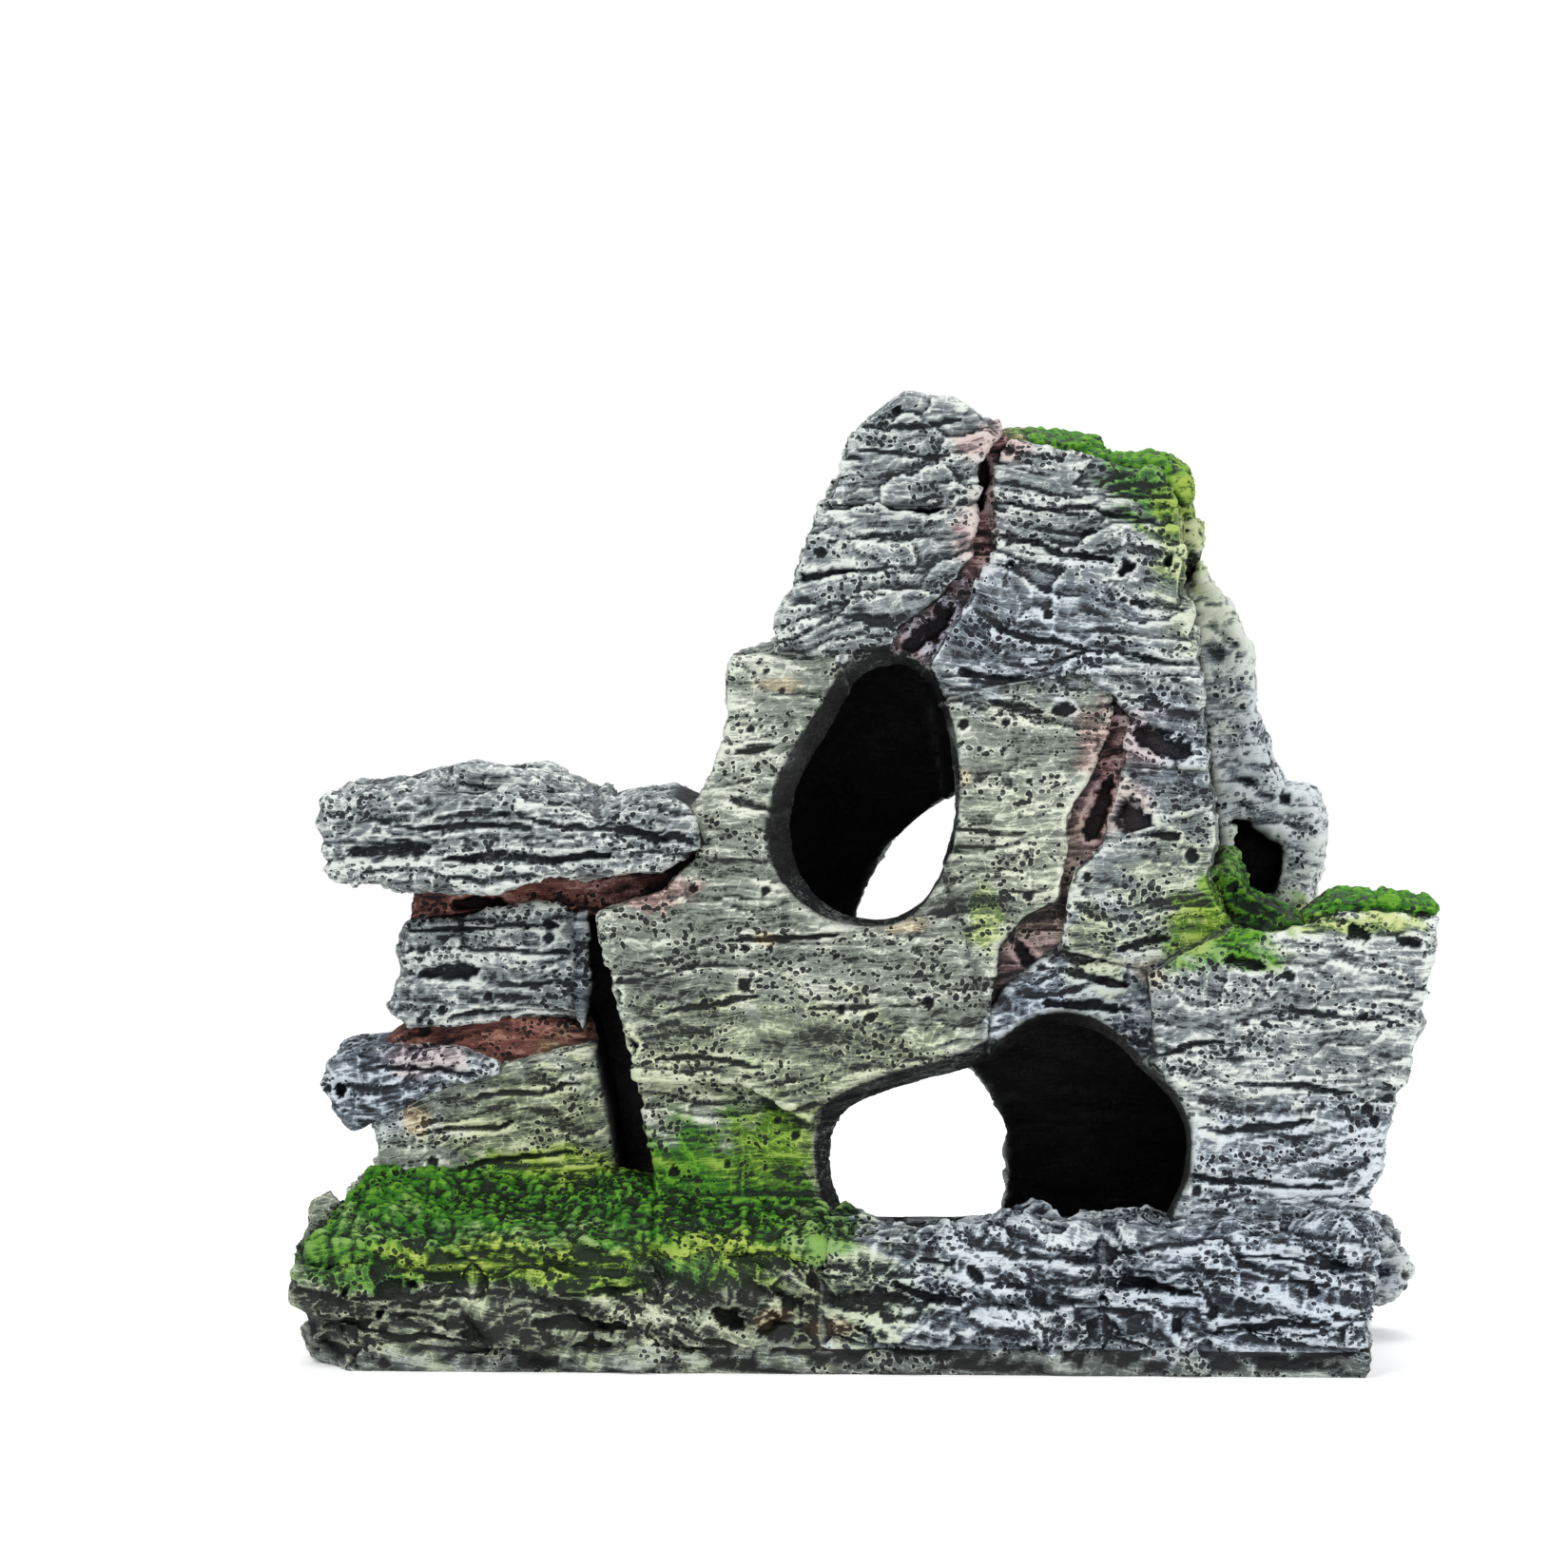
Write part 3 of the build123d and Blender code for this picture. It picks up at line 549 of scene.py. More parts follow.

# %% [markdown]
# ## Marks listed one by one
#
# Some hollows and grooves are too particular for noise: the long black crack under the
# spire's cap, the hollows down the brown veins. Each is a stroke across the front of one
# rock. Its ends are shares of that rock's width and height, so it stays on the rock when
# the rock's size changes; its width and depth are in mm. A negative depth is a rib. Noise
# bends a stroke and makes its edge ragged, and its ends taper.

# %% Strokes
STROKES = {
    # rock: [(from, to, width, depth)]
    "spire_block": [((0.14, 0.99), (0.99, 0.985), 1.0, 2.4), ((0.0, 0.62), (0.40, 0.65), 1.5, 1.3),
                    ((0.26, 0.80), (0.60, 0.85), 0.7, 0.7), ((0.21, 0.46), (0.56, 0.54), 0.6, 0.6)],
    "spire_cap": [((0.20, 0.70), (0.81, 0.74), 1.2, 0.7), ((0.17, 0.50), (0.75, 0.45), 0.8, 0.5)],
    "vein_upper": [((0.75, 0.89), (0.73, 0.68), 2.8, 1.8), ((0.13, 0.08), (0.51, 0.27), 3.2, 1.5)],
    "face_slab": [((0.31, 0.80), (0.83, 0.75), 0.7, 0.8), ((0.24, 0.70), (0.68, 0.60), 1.2, 1.3),
                  ((0.70, 0.57), (0.75, 0.58), 2.0, 1.6), ((0.86, 0.61), (0.88, 0.60), 2.2, 1.6),
                  ((0.31, 0.60), (0.32, 0.59), 1.5, 1.5), ((0.74, 0.46), (0.92, 0.44), 1.6, 1.0),
                  ((0.27, 0.36), (0.68, 0.28), 1.1, 0.8), ((0.14, 0.22), (0.40, 0.18), 2.4, 0.8),
                  ((0.71, 0.28), (0.91, 0.24), 1.0, 0.8)],
    "centre_slab": [((0.29, 0.91), (0.60, 0.88), 1.2, 0.7), ((0.66, 0.89), (0.79, 0.90), 2.0, 1.0),
                    ((0.07, 0.54), (0.51, 0.52), 0.8, 0.5)],
    "cheek_slab": [((0.29, 0.48), (0.54, 0.51), 1.4, 0.8), ((0.26, 0.24), (0.53, 0.19), 1.4, 0.8)],
    "side_step_top": [((0.15, 0.75), (0.80, 0.30), 4.2, 2.0)],
    "side_step_mid": [((-0.05, 0.50), (0.40, 0.20), 4.4, 2.0)],
    "side_slab": [((0.43, 0.90), (0.70, 0.84), 1.4, 1.0), ((0.35, 0.11), (0.65, 0.20), 1.2, 0.8)],
    "right_buttress": [((0.30, 0.85), (0.43, 0.83), 2.2, 1.4), ((0.71, 0.95), (0.78, 0.93), 1.8, 1.3),
                       ((0.87, 0.92), (0.95, 0.91), 1.6, 1.2), ((0.05, 0.55), (0.30, 0.59), 1.0, 0.8),
                       ((0.34, 0.45), (0.72, 0.43), 1.3, 0.9), ((0.21, 0.30), (0.59, 0.33), 1.1, 0.8),
                       ((0.18, 0.15), (0.66, 0.12), 1.2, 0.9), ((0.50, 0.70), (0.86, 0.66), 0.9, 0.6)],
    "waist_slab": [((0.32, 0.58), (0.61, 0.60), 0.9, 0.8), ((0.05, 0.24), (0.10, 0.25), 2.0, 1.8),
                   ((0.04, 0.36), (0.05, 0.42), 1.4, 1.4), ((0.17, 0.36), (0.41, 0.40), 0.8, 0.5),
                   ((0.54, 0.37), (0.85, 0.37), 0.7, 0.4), ((0.15, 0.21), (0.42, 0.19), 0.9, 0.5)],
    "vein_lower": [((0.85, 0.72), (0.70, 0.55), 3.2, 1.6), ((0.18, 0.22), (0.35, 0.12), 2.0, 1.3)],
    "ledge_slab": [((0.33, 0.30), (0.76, 0.33), 1.5, 1.3), ((0.08, 0.35), (0.29, 0.44), 2.6, 1.0),
                   ((0.17, 0.66), (0.56, 0.62), 0.9, 0.8), ((0.56, 0.72), (0.91, 0.54), 1.0, 0.8),
                   ((0.34, 0.08), (0.66, 0.16), 0.9, 0.7)],
    "column_block": [((0.17, 0.41), (0.47, 0.46), 2.2, 1.5), ((0.32, 0.05), (0.96, 0.07), 1.6, 1.2),
                     ((0.37, 0.64), (0.96, 0.60), 0.8, 0.8), ((0.10, 0.80), (0.90, 0.84), 0.9, 0.9)],
    "red_seam_upper": [((0.14, 0.22), (0.32, 0.20), 3.0, 2.0)],
    "red_seam_lower": [((0.19, 0.24), (0.24, 0.22), 2.4, 1.6)],
    "nose_rock": [((0.08, 0.50), (0.12, 0.50), 2.4, 1.8), ((0.33, 0.80), (0.90, 0.74), 0.8, 0.7)],
    "column_foot": [((0.18, 0.33), (0.56, 0.43), 1.0, 0.8), ((0.33, 0.10), (0.79, 0.22), 1.0, 0.8),
                    ((0.41, 0.60), (0.83, 0.70), 0.8, 0.6)],
    "kerb_left": [((0.27, 0.42), (0.29, 0.40), 1.8, 1.4), ((0.46, 0.23), (0.49, 0.21), 2.0, 1.4),
                  ((0.64, 0.46), (0.67, 0.44), 1.6, 1.3), ((0.37, 0.08), (0.91, 0.06), 1.2, 0.9)],
    "kerb_middle": [((0.34, 0.22), (0.87, 0.14), 1.8, 1.2), ((0.50, 0.40), (0.98, 0.48), 0.9, 0.8)],
    "kerb_step": [((0.38, 0.38), (0.54, 0.24), 2.8, 2.0), ((0.64, 0.24), (0.84, 0.10), 2.6, 2.0),
                  ((0.12, 0.24), (0.34, 0.02), 1.0, -0.9)],
    "kerb_boulders": [((0.26, 0.54), (0.50, 0.38), 1.6, 1.4), ((0.53, 0.68), (0.57, 0.55), 2.0, 1.5),
                      ((0.10, 0.30), (0.46, 0.10), 4.0, -1.3), ((0.55, 0.30), (0.95, 0.14), 4.4, -1.4)],
    "kerb_right": [((0.02, 0.60), (0.36, 0.46), 1.3, 1.2), ((0.43, 0.17), (0.85, 0.26), 1.2, 1.1),
                   ((0.50, 0.80), (0.92, 0.70), 1.0, 0.9)],
    "arch_stones": [((0.34, 0.54), (0.84, 0.50), 1.4, 1.2), ((0.45, 0.83), (0.82, 0.67), 1.3, 1.0)],
    "rear_shoulder": [((0.33, 0.56), (0.35, 0.56), 1.6, 1.4), ((0.40, 0.41), (0.54, 0.39), 1.4, 1.0),
                      ((0.40, 0.75), (0.42, 0.74), 1.4, 1.2)],
}


HALF_SHARE = 0.42       # from a stroke's middle to its half depth, as a share of its width
THINNEST = 0.1          # mm; half depth is never nearer to the middle than this
STROKE_WASH = 0.42      # the wash that gathers in a hollow


def box_mm(node):
    """The low and the high corner of a packed rock, in mm."""
    return (np.array(corner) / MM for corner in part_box(node))


def stroke_depth(node, points, normals):
    """How far the strokes on a rock sink each point, in mm, and how much wash they hold."""
    low, high = box_mm(node)
    depth, darkened = np.zeros(len(points)), np.zeros(len(points))
    flat = points[:, [0, 2]].copy()
    flat[:, 1] += 0.7 * drift(points, (5, 5, 5), 303) + 0.25 * drift(points, (1.6, 1.6, 1.2), 304)
    ragged = 1 + 0.55 * drift(points, (3.2, 3.2, 1.6), 301) + 0.35 * drift(points, 0.9, 302)
    for start, end, width, sink in STROKES.get(node, ()):
        a, b = (low[[0, 2]] + np.array(p) * (high - low)[[0, 2]] for p in (start, end))
        run = b - a
        share = np.clip(((flat - a) @ run) / (run @ run), 0, 1)
        miss = np.linalg.norm(flat - a - share[:, None] * run, axis=1)
        taper = 0.30 + 0.70 * np.sqrt(np.clip(4 * share * (1 - share), 0, 1))
        half = np.maximum(HALF_SHARE * width * ragged * taper, THINNEST)
        bowl = ramp(miss / half, 1.35, 0.30) * ramp(-normals[:, 1], 0.1, 0.5)
        depth += sink * bowl
        if sink > 0:
            darkened = np.maximum(darkened, STROKE_WASH * bowl)
    return depth, darkened


print(sum(len(strokes) for strokes in STROKES.values()), "strokes")

# %% [markdown]
# ## Sprays of colour
#
# Grey-green lichen, blue, rust, tan, lime and moss green are sprayed or dabbed on after
# the grey, and they drift over the edges between rocks. A spray is a soft, patchy spot
# round a place on one rock, given as shares of its box like a stroke, with how far it
# reaches to the sides and upwards, in mm. It falls on every rock in reach.

# %% Sprays
SPRAYS = {
    # colour: [(rock, place on it, reach sideways, reach upwards, strength)]
    "lichen": [
        ("waist_slab", (0.45, 0.18), 26, 9, 0.45),
        ("column_foot", (0.72, 0.35), 15, 8, 0.65),
        ("kerb_left", (0.5, 0.4), 16, 9, 0.45),
        ("kerb_middle", (0.5, 0.4), 18, 9, 0.5),
        ("kerb_step", (0.4, 0.5), 14, 9, 0.4),
        ("kerb_boulders", (0.05, 0.5), 12, 9, 0.6),
        ("mossy_block_right", (0.6, 0.5), 9, 11, 0.9),
        ("centre_slab", (0.9, 0.12), 4, 9, 0.6),
        ("side_slab", (0.75, 0.45), 9, 9, 0.4),
        ("right_buttress", (0.25, 0.90), 12, 3, 0.4),
        ("centre_slab", (0.45, 0.45), 9, 12, 0.15),
    ],
    "blue": [
        ("right_buttress", (0.6, 0.15), 18, 10, 0.55),
        ("kerb_right", (0.6, 0.5), 20, 9, 0.6),
        ("kerb_boulders", (0.6, 0.6), 14, 7, 0.4),
        ("face_slab", (0.35, 0.35), 14, 9, 0.5),
        ("arch_stones", (0.4, 0.4), 9, 6, 0.6),
        ("nose_rock", (0.3, 0.5), 9, 6, 0.5),
        ("rear_shoulder", (0.7, 0.4), 8, 12, 0.4),
        ("side_step_top", (0.5, 0.5), 6, 6, 0.5),
    ],
    "rust": [
        ("vein_upper", (0.80, 0.95), 5, 2.6, 0.55),
        ("vein_upper", (0.70, 0.55), 2.6, 5, 0.5),
        ("vein_lower", (0.78, 0.85), 3, 5, 0.6),
        ("side_step_top", (0.10, 0.50), 4, 4, 0.45),
        ("side_step_mid", (0.10, 0.50), 4, 4, 0.4),
        ("red_seam_upper", (0.75, 0.4), 9, 2.2, 0.7),
        ("nose_rock", (0.60, 0.85), 6, 2, 0.4),
    ],
    "tan": [
        ("cheek_slab", (0.55, 0.82), 3.4, 1.1, 0.5),
        ("centre_slab", (0.10, 0.70), 2.0, 1.4, 0.6),
        ("waist_slab", (0.78, 0.63), 3.0, 1.1, 0.6),
        ("waist_slab", (0.42, 0.58), 1.5, 1.0, 0.5),
        ("column_foot", (0.18, 0.46), 1.8, 2.0, 0.7),
        ("right_buttress", (0.04, 0.80), 2.0, 1.8, 0.5),
        ("kerb_step", (0.72, 0.30), 2.6, 1.6, 0.5),
        ("kerb_boulders", (0.03, 0.16), 3.0, 1.6, 0.5),
    ],
    "lime": [
        ("column_foot", (0.80, 0.14), 11, 2.2, 0.7),
        ("mossy_block_right", (0.25, 0.60), 7, 5, 0.4),
        ("moss_carpet", (0.62, 0.02), 17, 2.6, 0.75),
        ("moss_bank", (0.40, 0.05), 9, 2.0, 0.7),
        ("waist_slab", (0.99, 0.66), 2.2, 4.5, 0.6),
        ("side_slab", (0.80, 0.30), 4, 4.5, 0.6),
        ("moss_ridge", (0.45, 0.10), 9, 1.4, 0.7),
        ("crest_rock", (0.92, 0.35), 4, 8, 0.55),
        ("rear_shoulder", (0.12, 0.88), 5, 6, 0.2),
        ("kerb_step", (0.60, 0.80), 6, 2.4, 0.5),
        ("kerb_middle", (0.55, 0.50), 10, 1.8, 0.5),
    ],
    "moss": [
        ("mossy_block_left", (0.45, 0.35), 8, 9, 1.0),
        ("mossy_block_right", (0.12, 0.38), 8, 10, 1.0),
        ("column_foot", (0.70, 0.02), 15, 3.5, 1.0),
        ("moss_saddle", (0.25, 0.35), 7, 6, 1.0),
        ("side_slab", (0.85, 0.20), 6, 5, 0.8),
        ("kerb_left", (0.5, 0.62), 14, 3.2, 0.9),
        ("kerb_middle", (0.4, 0.60), 16, 2.6, 0.9),
        ("kerb_step", (0.3, 0.98), 12, 3.4, 0.9),
        ("kerb_boulders", (0.02, 0.95), 4, 3.5, 0.7),
        ("crest_rock", (0.85, 0.7), 8, 6, 0.9),
    ],
}


PATCHINESS = 0.35       # how much the noise shifts a spray's edge, as a share of its reach


def sprayed(colour, points):
    """How much of one colour has landed on each point, from 0 to 1."""
    amount = np.zeros(len(points))
    patchy = (1.5 * drift(askew(points), (3.8, 3.8, 2.2), 401)
              + 0.8 * drift(askew(points), (1.3, 1.3, 0.8), 402))
    for node, (u, w), sideways, upwards, strength in SPRAYS[colour]:
        low, high = box_mm(node)
        x, z = low[0] + u * (high[0] - low[0]), low[2] + w * (high[2] - low[2])
        far = np.sqrt(((points[:, 0] - x) / sideways) ** 2 + ((points[:, 2] - z) / upwards) ** 2)
        amount = np.maximum(amount, strength * ramp(far - PATCHINESS * patchy, 1.15, 0.6))
    return amount


print({colour: len(patches) for colour, patches in SPRAYS.items()})

# %% [markdown]
# ## From packed rock to weathered rock
#
# Now the pieces come together. A rock's blank is weathered along its normals. Faces that
# lie against the next rock stay smooth and sink into it a little, so that no gap opens.
# The cave's inside, the spots that little light reaches and the openings' smooth reveals
# take only a light texture. Nothing goes below the table. Then each vertex is given the
# numbers that the paint needs: relief, wash, thinness, tilt, the black of the cave with
# painted shade where little light reaches, reveal and the sprays.
#
# The cave and the reveals are found from the boxes that the record declares as openings:
# a face belongs to one when it is near a box and looks towards it. The stone colour is
# rubbed thin along the kerb, where the undercoat shows through, and lies thickest on the
# shoulder at the back.

# %% Cave and reveals
ROOM_REACH = (24, 19)         # mm from a room at which its hold starts, and is full
REVEAL_REACH = (34, 28)       # mm from the middle of a hole, likewise


def open_boxes(names):
    """The boxes of some of the record's openings, in mm."""
    return [np.array(hole["box_m"]) / MM for hole in frame["record"]["physics"]["openings"]
            if hole["name"] in names]


front_holes = open_boxes(("window_upper", "window_lower", "tunnel_mouth", "tunnel_mouth_top"))
rooms = open_boxes(("cave_lower", "cave_middle", "cave_upper"))


def indoors(surface):
    """1 on faces that look into the cave, and 0 on the outside."""
    found = np.zeros(len(surface.points))
    for low, high in rooms:
        towards = np.clip(surface.points, low, high) - surface.points
        reach = np.linalg.norm(towards, axis=1)
        facing = (towards * surface.normals).sum(axis=1) / np.maximum(reach, 0.1)
        found = np.maximum(found, ramp(facing, 0.1, 0.4) * ramp(reach, *ROOM_REACH))
    return found


def reveal_of(surface):
    """1 on the smooth walls of the window and the tunnel in the front wall."""
    found = np.zeros(len(surface.points))
    for low, high in front_holes:
        middle = (low + high) / 2
        towards = (middle - surface.points)[:, [0, 2]]
        reach = np.linalg.norm(towards, axis=1)
        facing = (towards * surface.normals[:, [0, 2]]).sum(axis=1) / np.maximum(reach, 0.1)
        found = np.maximum(found, ramp(reach, *REVEAL_REACH) * ramp(facing, 0.25, 0.5))
    return found * ramp(np.abs(surface.normals[:, 1]), 0.93, 0.85)


print(len(rooms), "rooms and", len(front_holes), "boxes in the front holes")

# %% How thin the stone colour lies
THIN = {
    # rock: how much thinner its stone colour is than most; below zero it is thicker
    "centre_slab": -0.10, "cheek_slab": -0.15, "waist_slab": 0.10, "right_buttress": -0.15,
    "face_slab": 0.12, "side_slab": -0.05, "rear_shoulder": -0.60, "kerb_left": 0.95,
    "kerb_middle": 0.85, "kerb_step": 0.70, "kerb_boulders": 0.0, "kerb_right": 0.0,
    "base_plate": 0.55, "nose_rock": 0.20, "arch_stones": 0.10, "side_step_top": 0.15,
    "side_step_mid": 0.15, "ledge_slab": 0.10, "ledge_crown": 0.05, "column_block": 0.10,
    "vein_upper": -0.05, "vein_lower": -0.25, "moss_carpet": 0.20, "moss_bank": 0.15,
}
print("thinnest on", max(THIN, key=THIN.get))

# %% Weathered rock
SWELL = 0.12            # mm that every face grows, so that rocks press together
TUCK = 0.2              # mm more on faces that lie against the next rock
GROWTH = 0.9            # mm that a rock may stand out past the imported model
FINE, BROAD = ((4, 16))      # rounds of easing for the two reliefs
RELIEF_RANGE = (-1.1, 1.4)      # the paint needs no more contrast than this


def relief_of(surface, rise, beside):
    """How proud each vertex stands: above its near and its wider surroundings, and on the
    packed rock's own edges, where no other rock is beside them."""
    fine = rise - surface.eased(rise, FINE)
    broad = rise - surface.eased(rise, BROAD)
    bent = np.column_stack([surface.eased(surface.points[:, i], BROAD) for i in range(3)])
    corner = ((surface.points - bent) * surface.normals).sum(axis=1)
    corner *= 1 - ramp(beside, 0.2, 0.7)
    return np.clip(5.0 * fine + 1.8 * broad + 2.6 * corner, *RELIEF_RANGE)


def thinness(node, points, dip, seed):
    """How thin the stone colour lies: in patches that follow the beds, and by rock."""
    sheared = askew(bedding(points, dip))
    patchy = 0.62 * drift(sheared, (12, 12, 4.2), seed + 30)
    patchy += 0.40 * drift(sheared, (4.5, 4.5, 1.5), seed + 31)
    return patchy + THIN.get(node, 0.0)


def moved_out(points, normals, rise):
    """The points pushed along their normals, but not below the table or far past the model."""
    moved = points + normals * rise[:, None]
    low, high = np.array(cad_low) / MM, np.array(cad_high) / MM
    moved = np.clip(moved, low - GROWTH, high + GROWTH)
    moved[:, 2] = np.maximum(moved[:, 2], 0.0)
    return moved


def paint_value(mesh, name, values):
    """Store a number for each vertex, for a material to read."""
    layer = mesh.attributes.new(name, "FLOAT", "POINT")
    layer.data.foreach_set("value", np.ascontiguousarray(values, dtype=np.float32))


def weathered(node, kind, dip, seed, grid, walled, extra=None):
    """Make a packed rock into a weathered one, with the numbers its paint needs."""
    rock = rock_blank(node, grid)
    surface = Surface(rock)
    points, normals = surface.points, surface.normals
    hidden, beside, creased = seams(node, surface)
    hidden = surface.eased(hidden, 2)
    # Black for the cave's inside, and painted shade: spots that few rays leave are painted black as
    # well.
    if kind == "inner":
        cave_and_shade = np.ones(len(points))
    else:
        cave_and_shade = np.maximum(ramp(openness(surface), 0.30, 0.12), surface.eased(indoors(surface), 3))
    reveal = surface.eased(reveal_of(surface), 2) if walled else np.zeros(len(points))
    calm = (1 - 0.9 * hidden) * (1 - 0.6 * reveal) * (1 - 0.6 * cave_and_shade)

    rise, pit = weather(points, dip, kind, seed)
    depth, stroke = stroke_depth(node, points, normals)
    rise -= depth
    if extra is not None:
        rise += extra(surface)
    rise *= calm * ramp(points[:, 2], 0.05, 0.6)
    rise += SWELL + TUCK * np.maximum(hidden, ramp(beside, 0.75, 0.95))
    rock.data.vertices.foreach_set("co", (moved_out(points, normals, rise) * MM).ravel())
    rock.data.update()

    paint_value(rock.data, "relief", relief_of(surface, rise, beside))
    paint_value(rock.data, "wash", np.clip(np.maximum(pit * calm, 0.9 * creased) + stroke, 0, 1))
    paint_value(rock.data, "thin", thinness(node, points, dip, seed))
    paint_value(rock.data, "tilt", np.full(len(points), math.atan(dip)))
    paint_value(rock.data, "cave_and_shade", cave_and_shade)
    paint_value(rock.data, "reveal", reveal)
    for colour in SPRAYS:
        paint_value(rock.data, colour, sprayed(colour, points) * (1 - cave_and_shade))
    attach(rock, "root")
    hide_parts(node)
    return rock


print("a rock may grow by", GROWTH, "mm")

# %% [markdown]
# ## Paint
#
# The ornament is painted in layers: a dark undercoat, a stone colour that misses the
# recesses, and an almost white dry brush that touches only what stands proud. Grain finer
# than the grid can hold, such as hair-thin streaks and pinprick bubbles, comes from noise
# in the paint and a bump. Every rock needs the same layers in its own colours, so each
# layer is a node group, built once. Its inputs are colours and numbers that the material
# sets, and it reads the numbers on the vertices by itself.

# %% Helpers for node trees
def tone(red, green, blue):
    """A colour as on a screen, 0 to 255, turned by the sRGB curve into linear values."""
    parts = []
    for part in (red, green, blue):
        share = part / 255
        parts.append(share / 12.92 if share <= 0.04045 else ((share + 0.055) / 1.055) ** 2.4)
    return (*parts, 1.0)


def feed(tree, socket, value):
    """Connect a socket to another one, or give it a plain value."""
    if isinstance(value, bpy.types.NodeSocket):
        tree.links.new(value, socket)
    else:
        socket.default_value = value


def sum_up(tree, *terms):
    """Add up pairs of a socket or number and the number that it is multiplied by."""
    total = None
    for source, factor in terms:
        made = tree.nodes.new("ShaderNodeMath")
        made.operation = "MULTIPLY_ADD"
        feed(tree, made.inputs[0], source)
        made.inputs[1].default_value = factor
        feed(tree, made.inputs[2], 0.0 if total is None else total)
        total = made.outputs[0]
    return total


def between(tree, value, start, end, low=0.0, high=1.0):
    """Turn start..end of a value smoothly into low..high."""
    made = tree.nodes.new("ShaderNodeMapRange")
    made.interpolation_type = "SMOOTHSTEP"
    feed(tree, made.inputs["Value"], value)
    for name, number in (("From Min", start), ("From Max", end), ("To Min", low), ("To Max", high)):
        made.inputs[name].default_value = number
    return made.outputs["Result"]


def blend_colours(tree, share, under, over):
    """Cover one colour with another by a share."""
    made = tree.nodes.new("ShaderNodeMix")
    made.data_type = "RGBA"
    feed(tree, made.inputs["Factor"], share)
    feed(tree, made.inputs["A"], under)
    feed(tree, made.inputs["B"], over)
    return made.outputs["Result"]


def vertex_number(tree, name):
    """Read one of the numbers that the weathering left on the vertices."""
    made = tree.nodes.new("ShaderNodeAttribute")
    made.attribute_name = name
    return made.outputs["Fac"]


def new_group(name, inputs, outputs):
    """An empty node group with named sockets, and its inner input and output nodes."""
    group = bpy.data.node_groups.new(name, "ShaderNodeTree")
    kinds = {"colour": "NodeSocketColor", "number": "NodeSocketFloat"}
    for label, kind in inputs:
        group.interface.new_socket(label, in_out="INPUT", socket_type=kinds[kind])
    for label, kind in outputs:
        group.interface.new_socket(label, in_out="OUTPUT", socket_type=kinds[kind])
    return group, group.nodes.new("NodeGroupInput"), group.nodes.new("NodeGroupOutput")


print("white is", tone(255, 255, 255))

# %% Textures for the grain
def noise(tree, where, scale, detail, roughness, twist=0.0):
    """A Noise texture; its scale is in lumps per metre."""
    made = tree.nodes.new("ShaderNodeTexNoise")
    tree.links.new(where, made.inputs["Vector"])
    made.inputs["Scale"].default_value = scale
    made.inputs["Detail"].default_value = detail
    made.inputs["Roughness"].default_value = roughness
    made.inputs["Distortion"].default_value = twist
    return made.outputs["Fac"]


def voronoi(tree, where, scale, feature):
    """A Voronoi texture's distance; its scale is in cells per metre."""
    made = tree.nodes.new("ShaderNodeTexVoronoi")
    made.feature = feature
    tree.links.new(where, made.inputs["Vector"])
    made.inputs["Scale"].default_value = scale
    return made.outputs["Distance"]


def wavy(tree, where, scale, reach):
    """Coordinates pushed about by a soft noise, as far as reach says along each axis."""
    soft = tree.nodes.new("ShaderNodeTexNoise")
    soft.inputs["Scale"].default_value = scale
    soft.inputs["Detail"].default_value = 2
    tree.links.new(where, soft.inputs["Vector"])
    made = tree.nodes.new("ShaderNodeVectorMath")
    made.operation = "MULTIPLY_ADD"
    tree.links.new(soft.outputs["Color"], made.inputs[0])
    made.inputs[1].default_value = reach
    tree.links.new(where, made.inputs[2])
    return made.outputs["Vector"]


def in_beds(tree, where, slope, flatness):
    """Coordinates turned by a slope in radians and squashed, so that patterns lie in beds."""
    turn = tree.nodes.new("ShaderNodeCombineXYZ")
    feed(tree, turn.inputs["Y"], slope)
    made = tree.nodes.new("ShaderNodeMapping")
    made.vector_type = "TEXTURE"
    feed(tree, made.inputs["Rotation"], turn.outputs["Vector"])
    made.inputs["Scale"].default_value = (1.0, 1.0, 1.0 / flatness)
    tree.links.new(where, made.inputs["Vector"])
    return made.outputs["Vector"]


print("helpers:", ", ".join(helper.__name__ for helper in (noise, voronoi, wavy, in_beds)))

# %% Grain finer than the grid
GRAINS = {
    # grain: how flat its lumps lie, lumps per metre, detail, roughness, twist
    "hair": (13.0, 330, 6, 0.70, 0.5),
    "band": (3.2, 100, 4, 0.60, 0.8),
    "cluster": (2.0, 120, 3, 0.60, 0.3),
}
SWAY = 75, (0.001, 0.001, 0.0045)             # lumps per metre, and reach in metres
CRINKLE = 800, (0.0007, 0.0007, 0.0007)
NET_CELLS, BUBBLE_CELLS = 560, 1150           # cells per metre

grain, _, grain_out = new_group(
    "resin_grain", [],
    [("Streak", "number"), ("Patch", "number"), ("Net", "number"), ("Pits", "number"),
     ("Height", "number")])
place = grain.nodes.new("ShaderNodeTexCoord").outputs["Object"]
slope = sum_up(grain, (vertex_number(grain, "tilt"), -1.0))
swayed = wavy(grain, place, *SWAY)
crinkled = wavy(grain, swayed, *CRINKLE)
hair, band, cluster = (noise(grain, in_beds(grain, swayed, slope, flatness), *settings)
                       for flatness, *settings in GRAINS.values())
grit = noise(grain, place, 2400, 3, 0.65)
net_edge = voronoi(grain, in_beds(grain, crinkled, slope, 1.5), NET_CELLS, "DISTANCE_TO_EDGE")
net = between(grain, net_edge, 0.08, 0.0)
bubble = voronoi(grain, in_beds(grain, crinkled, slope, 1.1), BUBBLE_CELLS, "F1")
gathered = between(grain, cluster, 0.36, 0.60, -0.06, 0.45)      # bubbles come in clusters
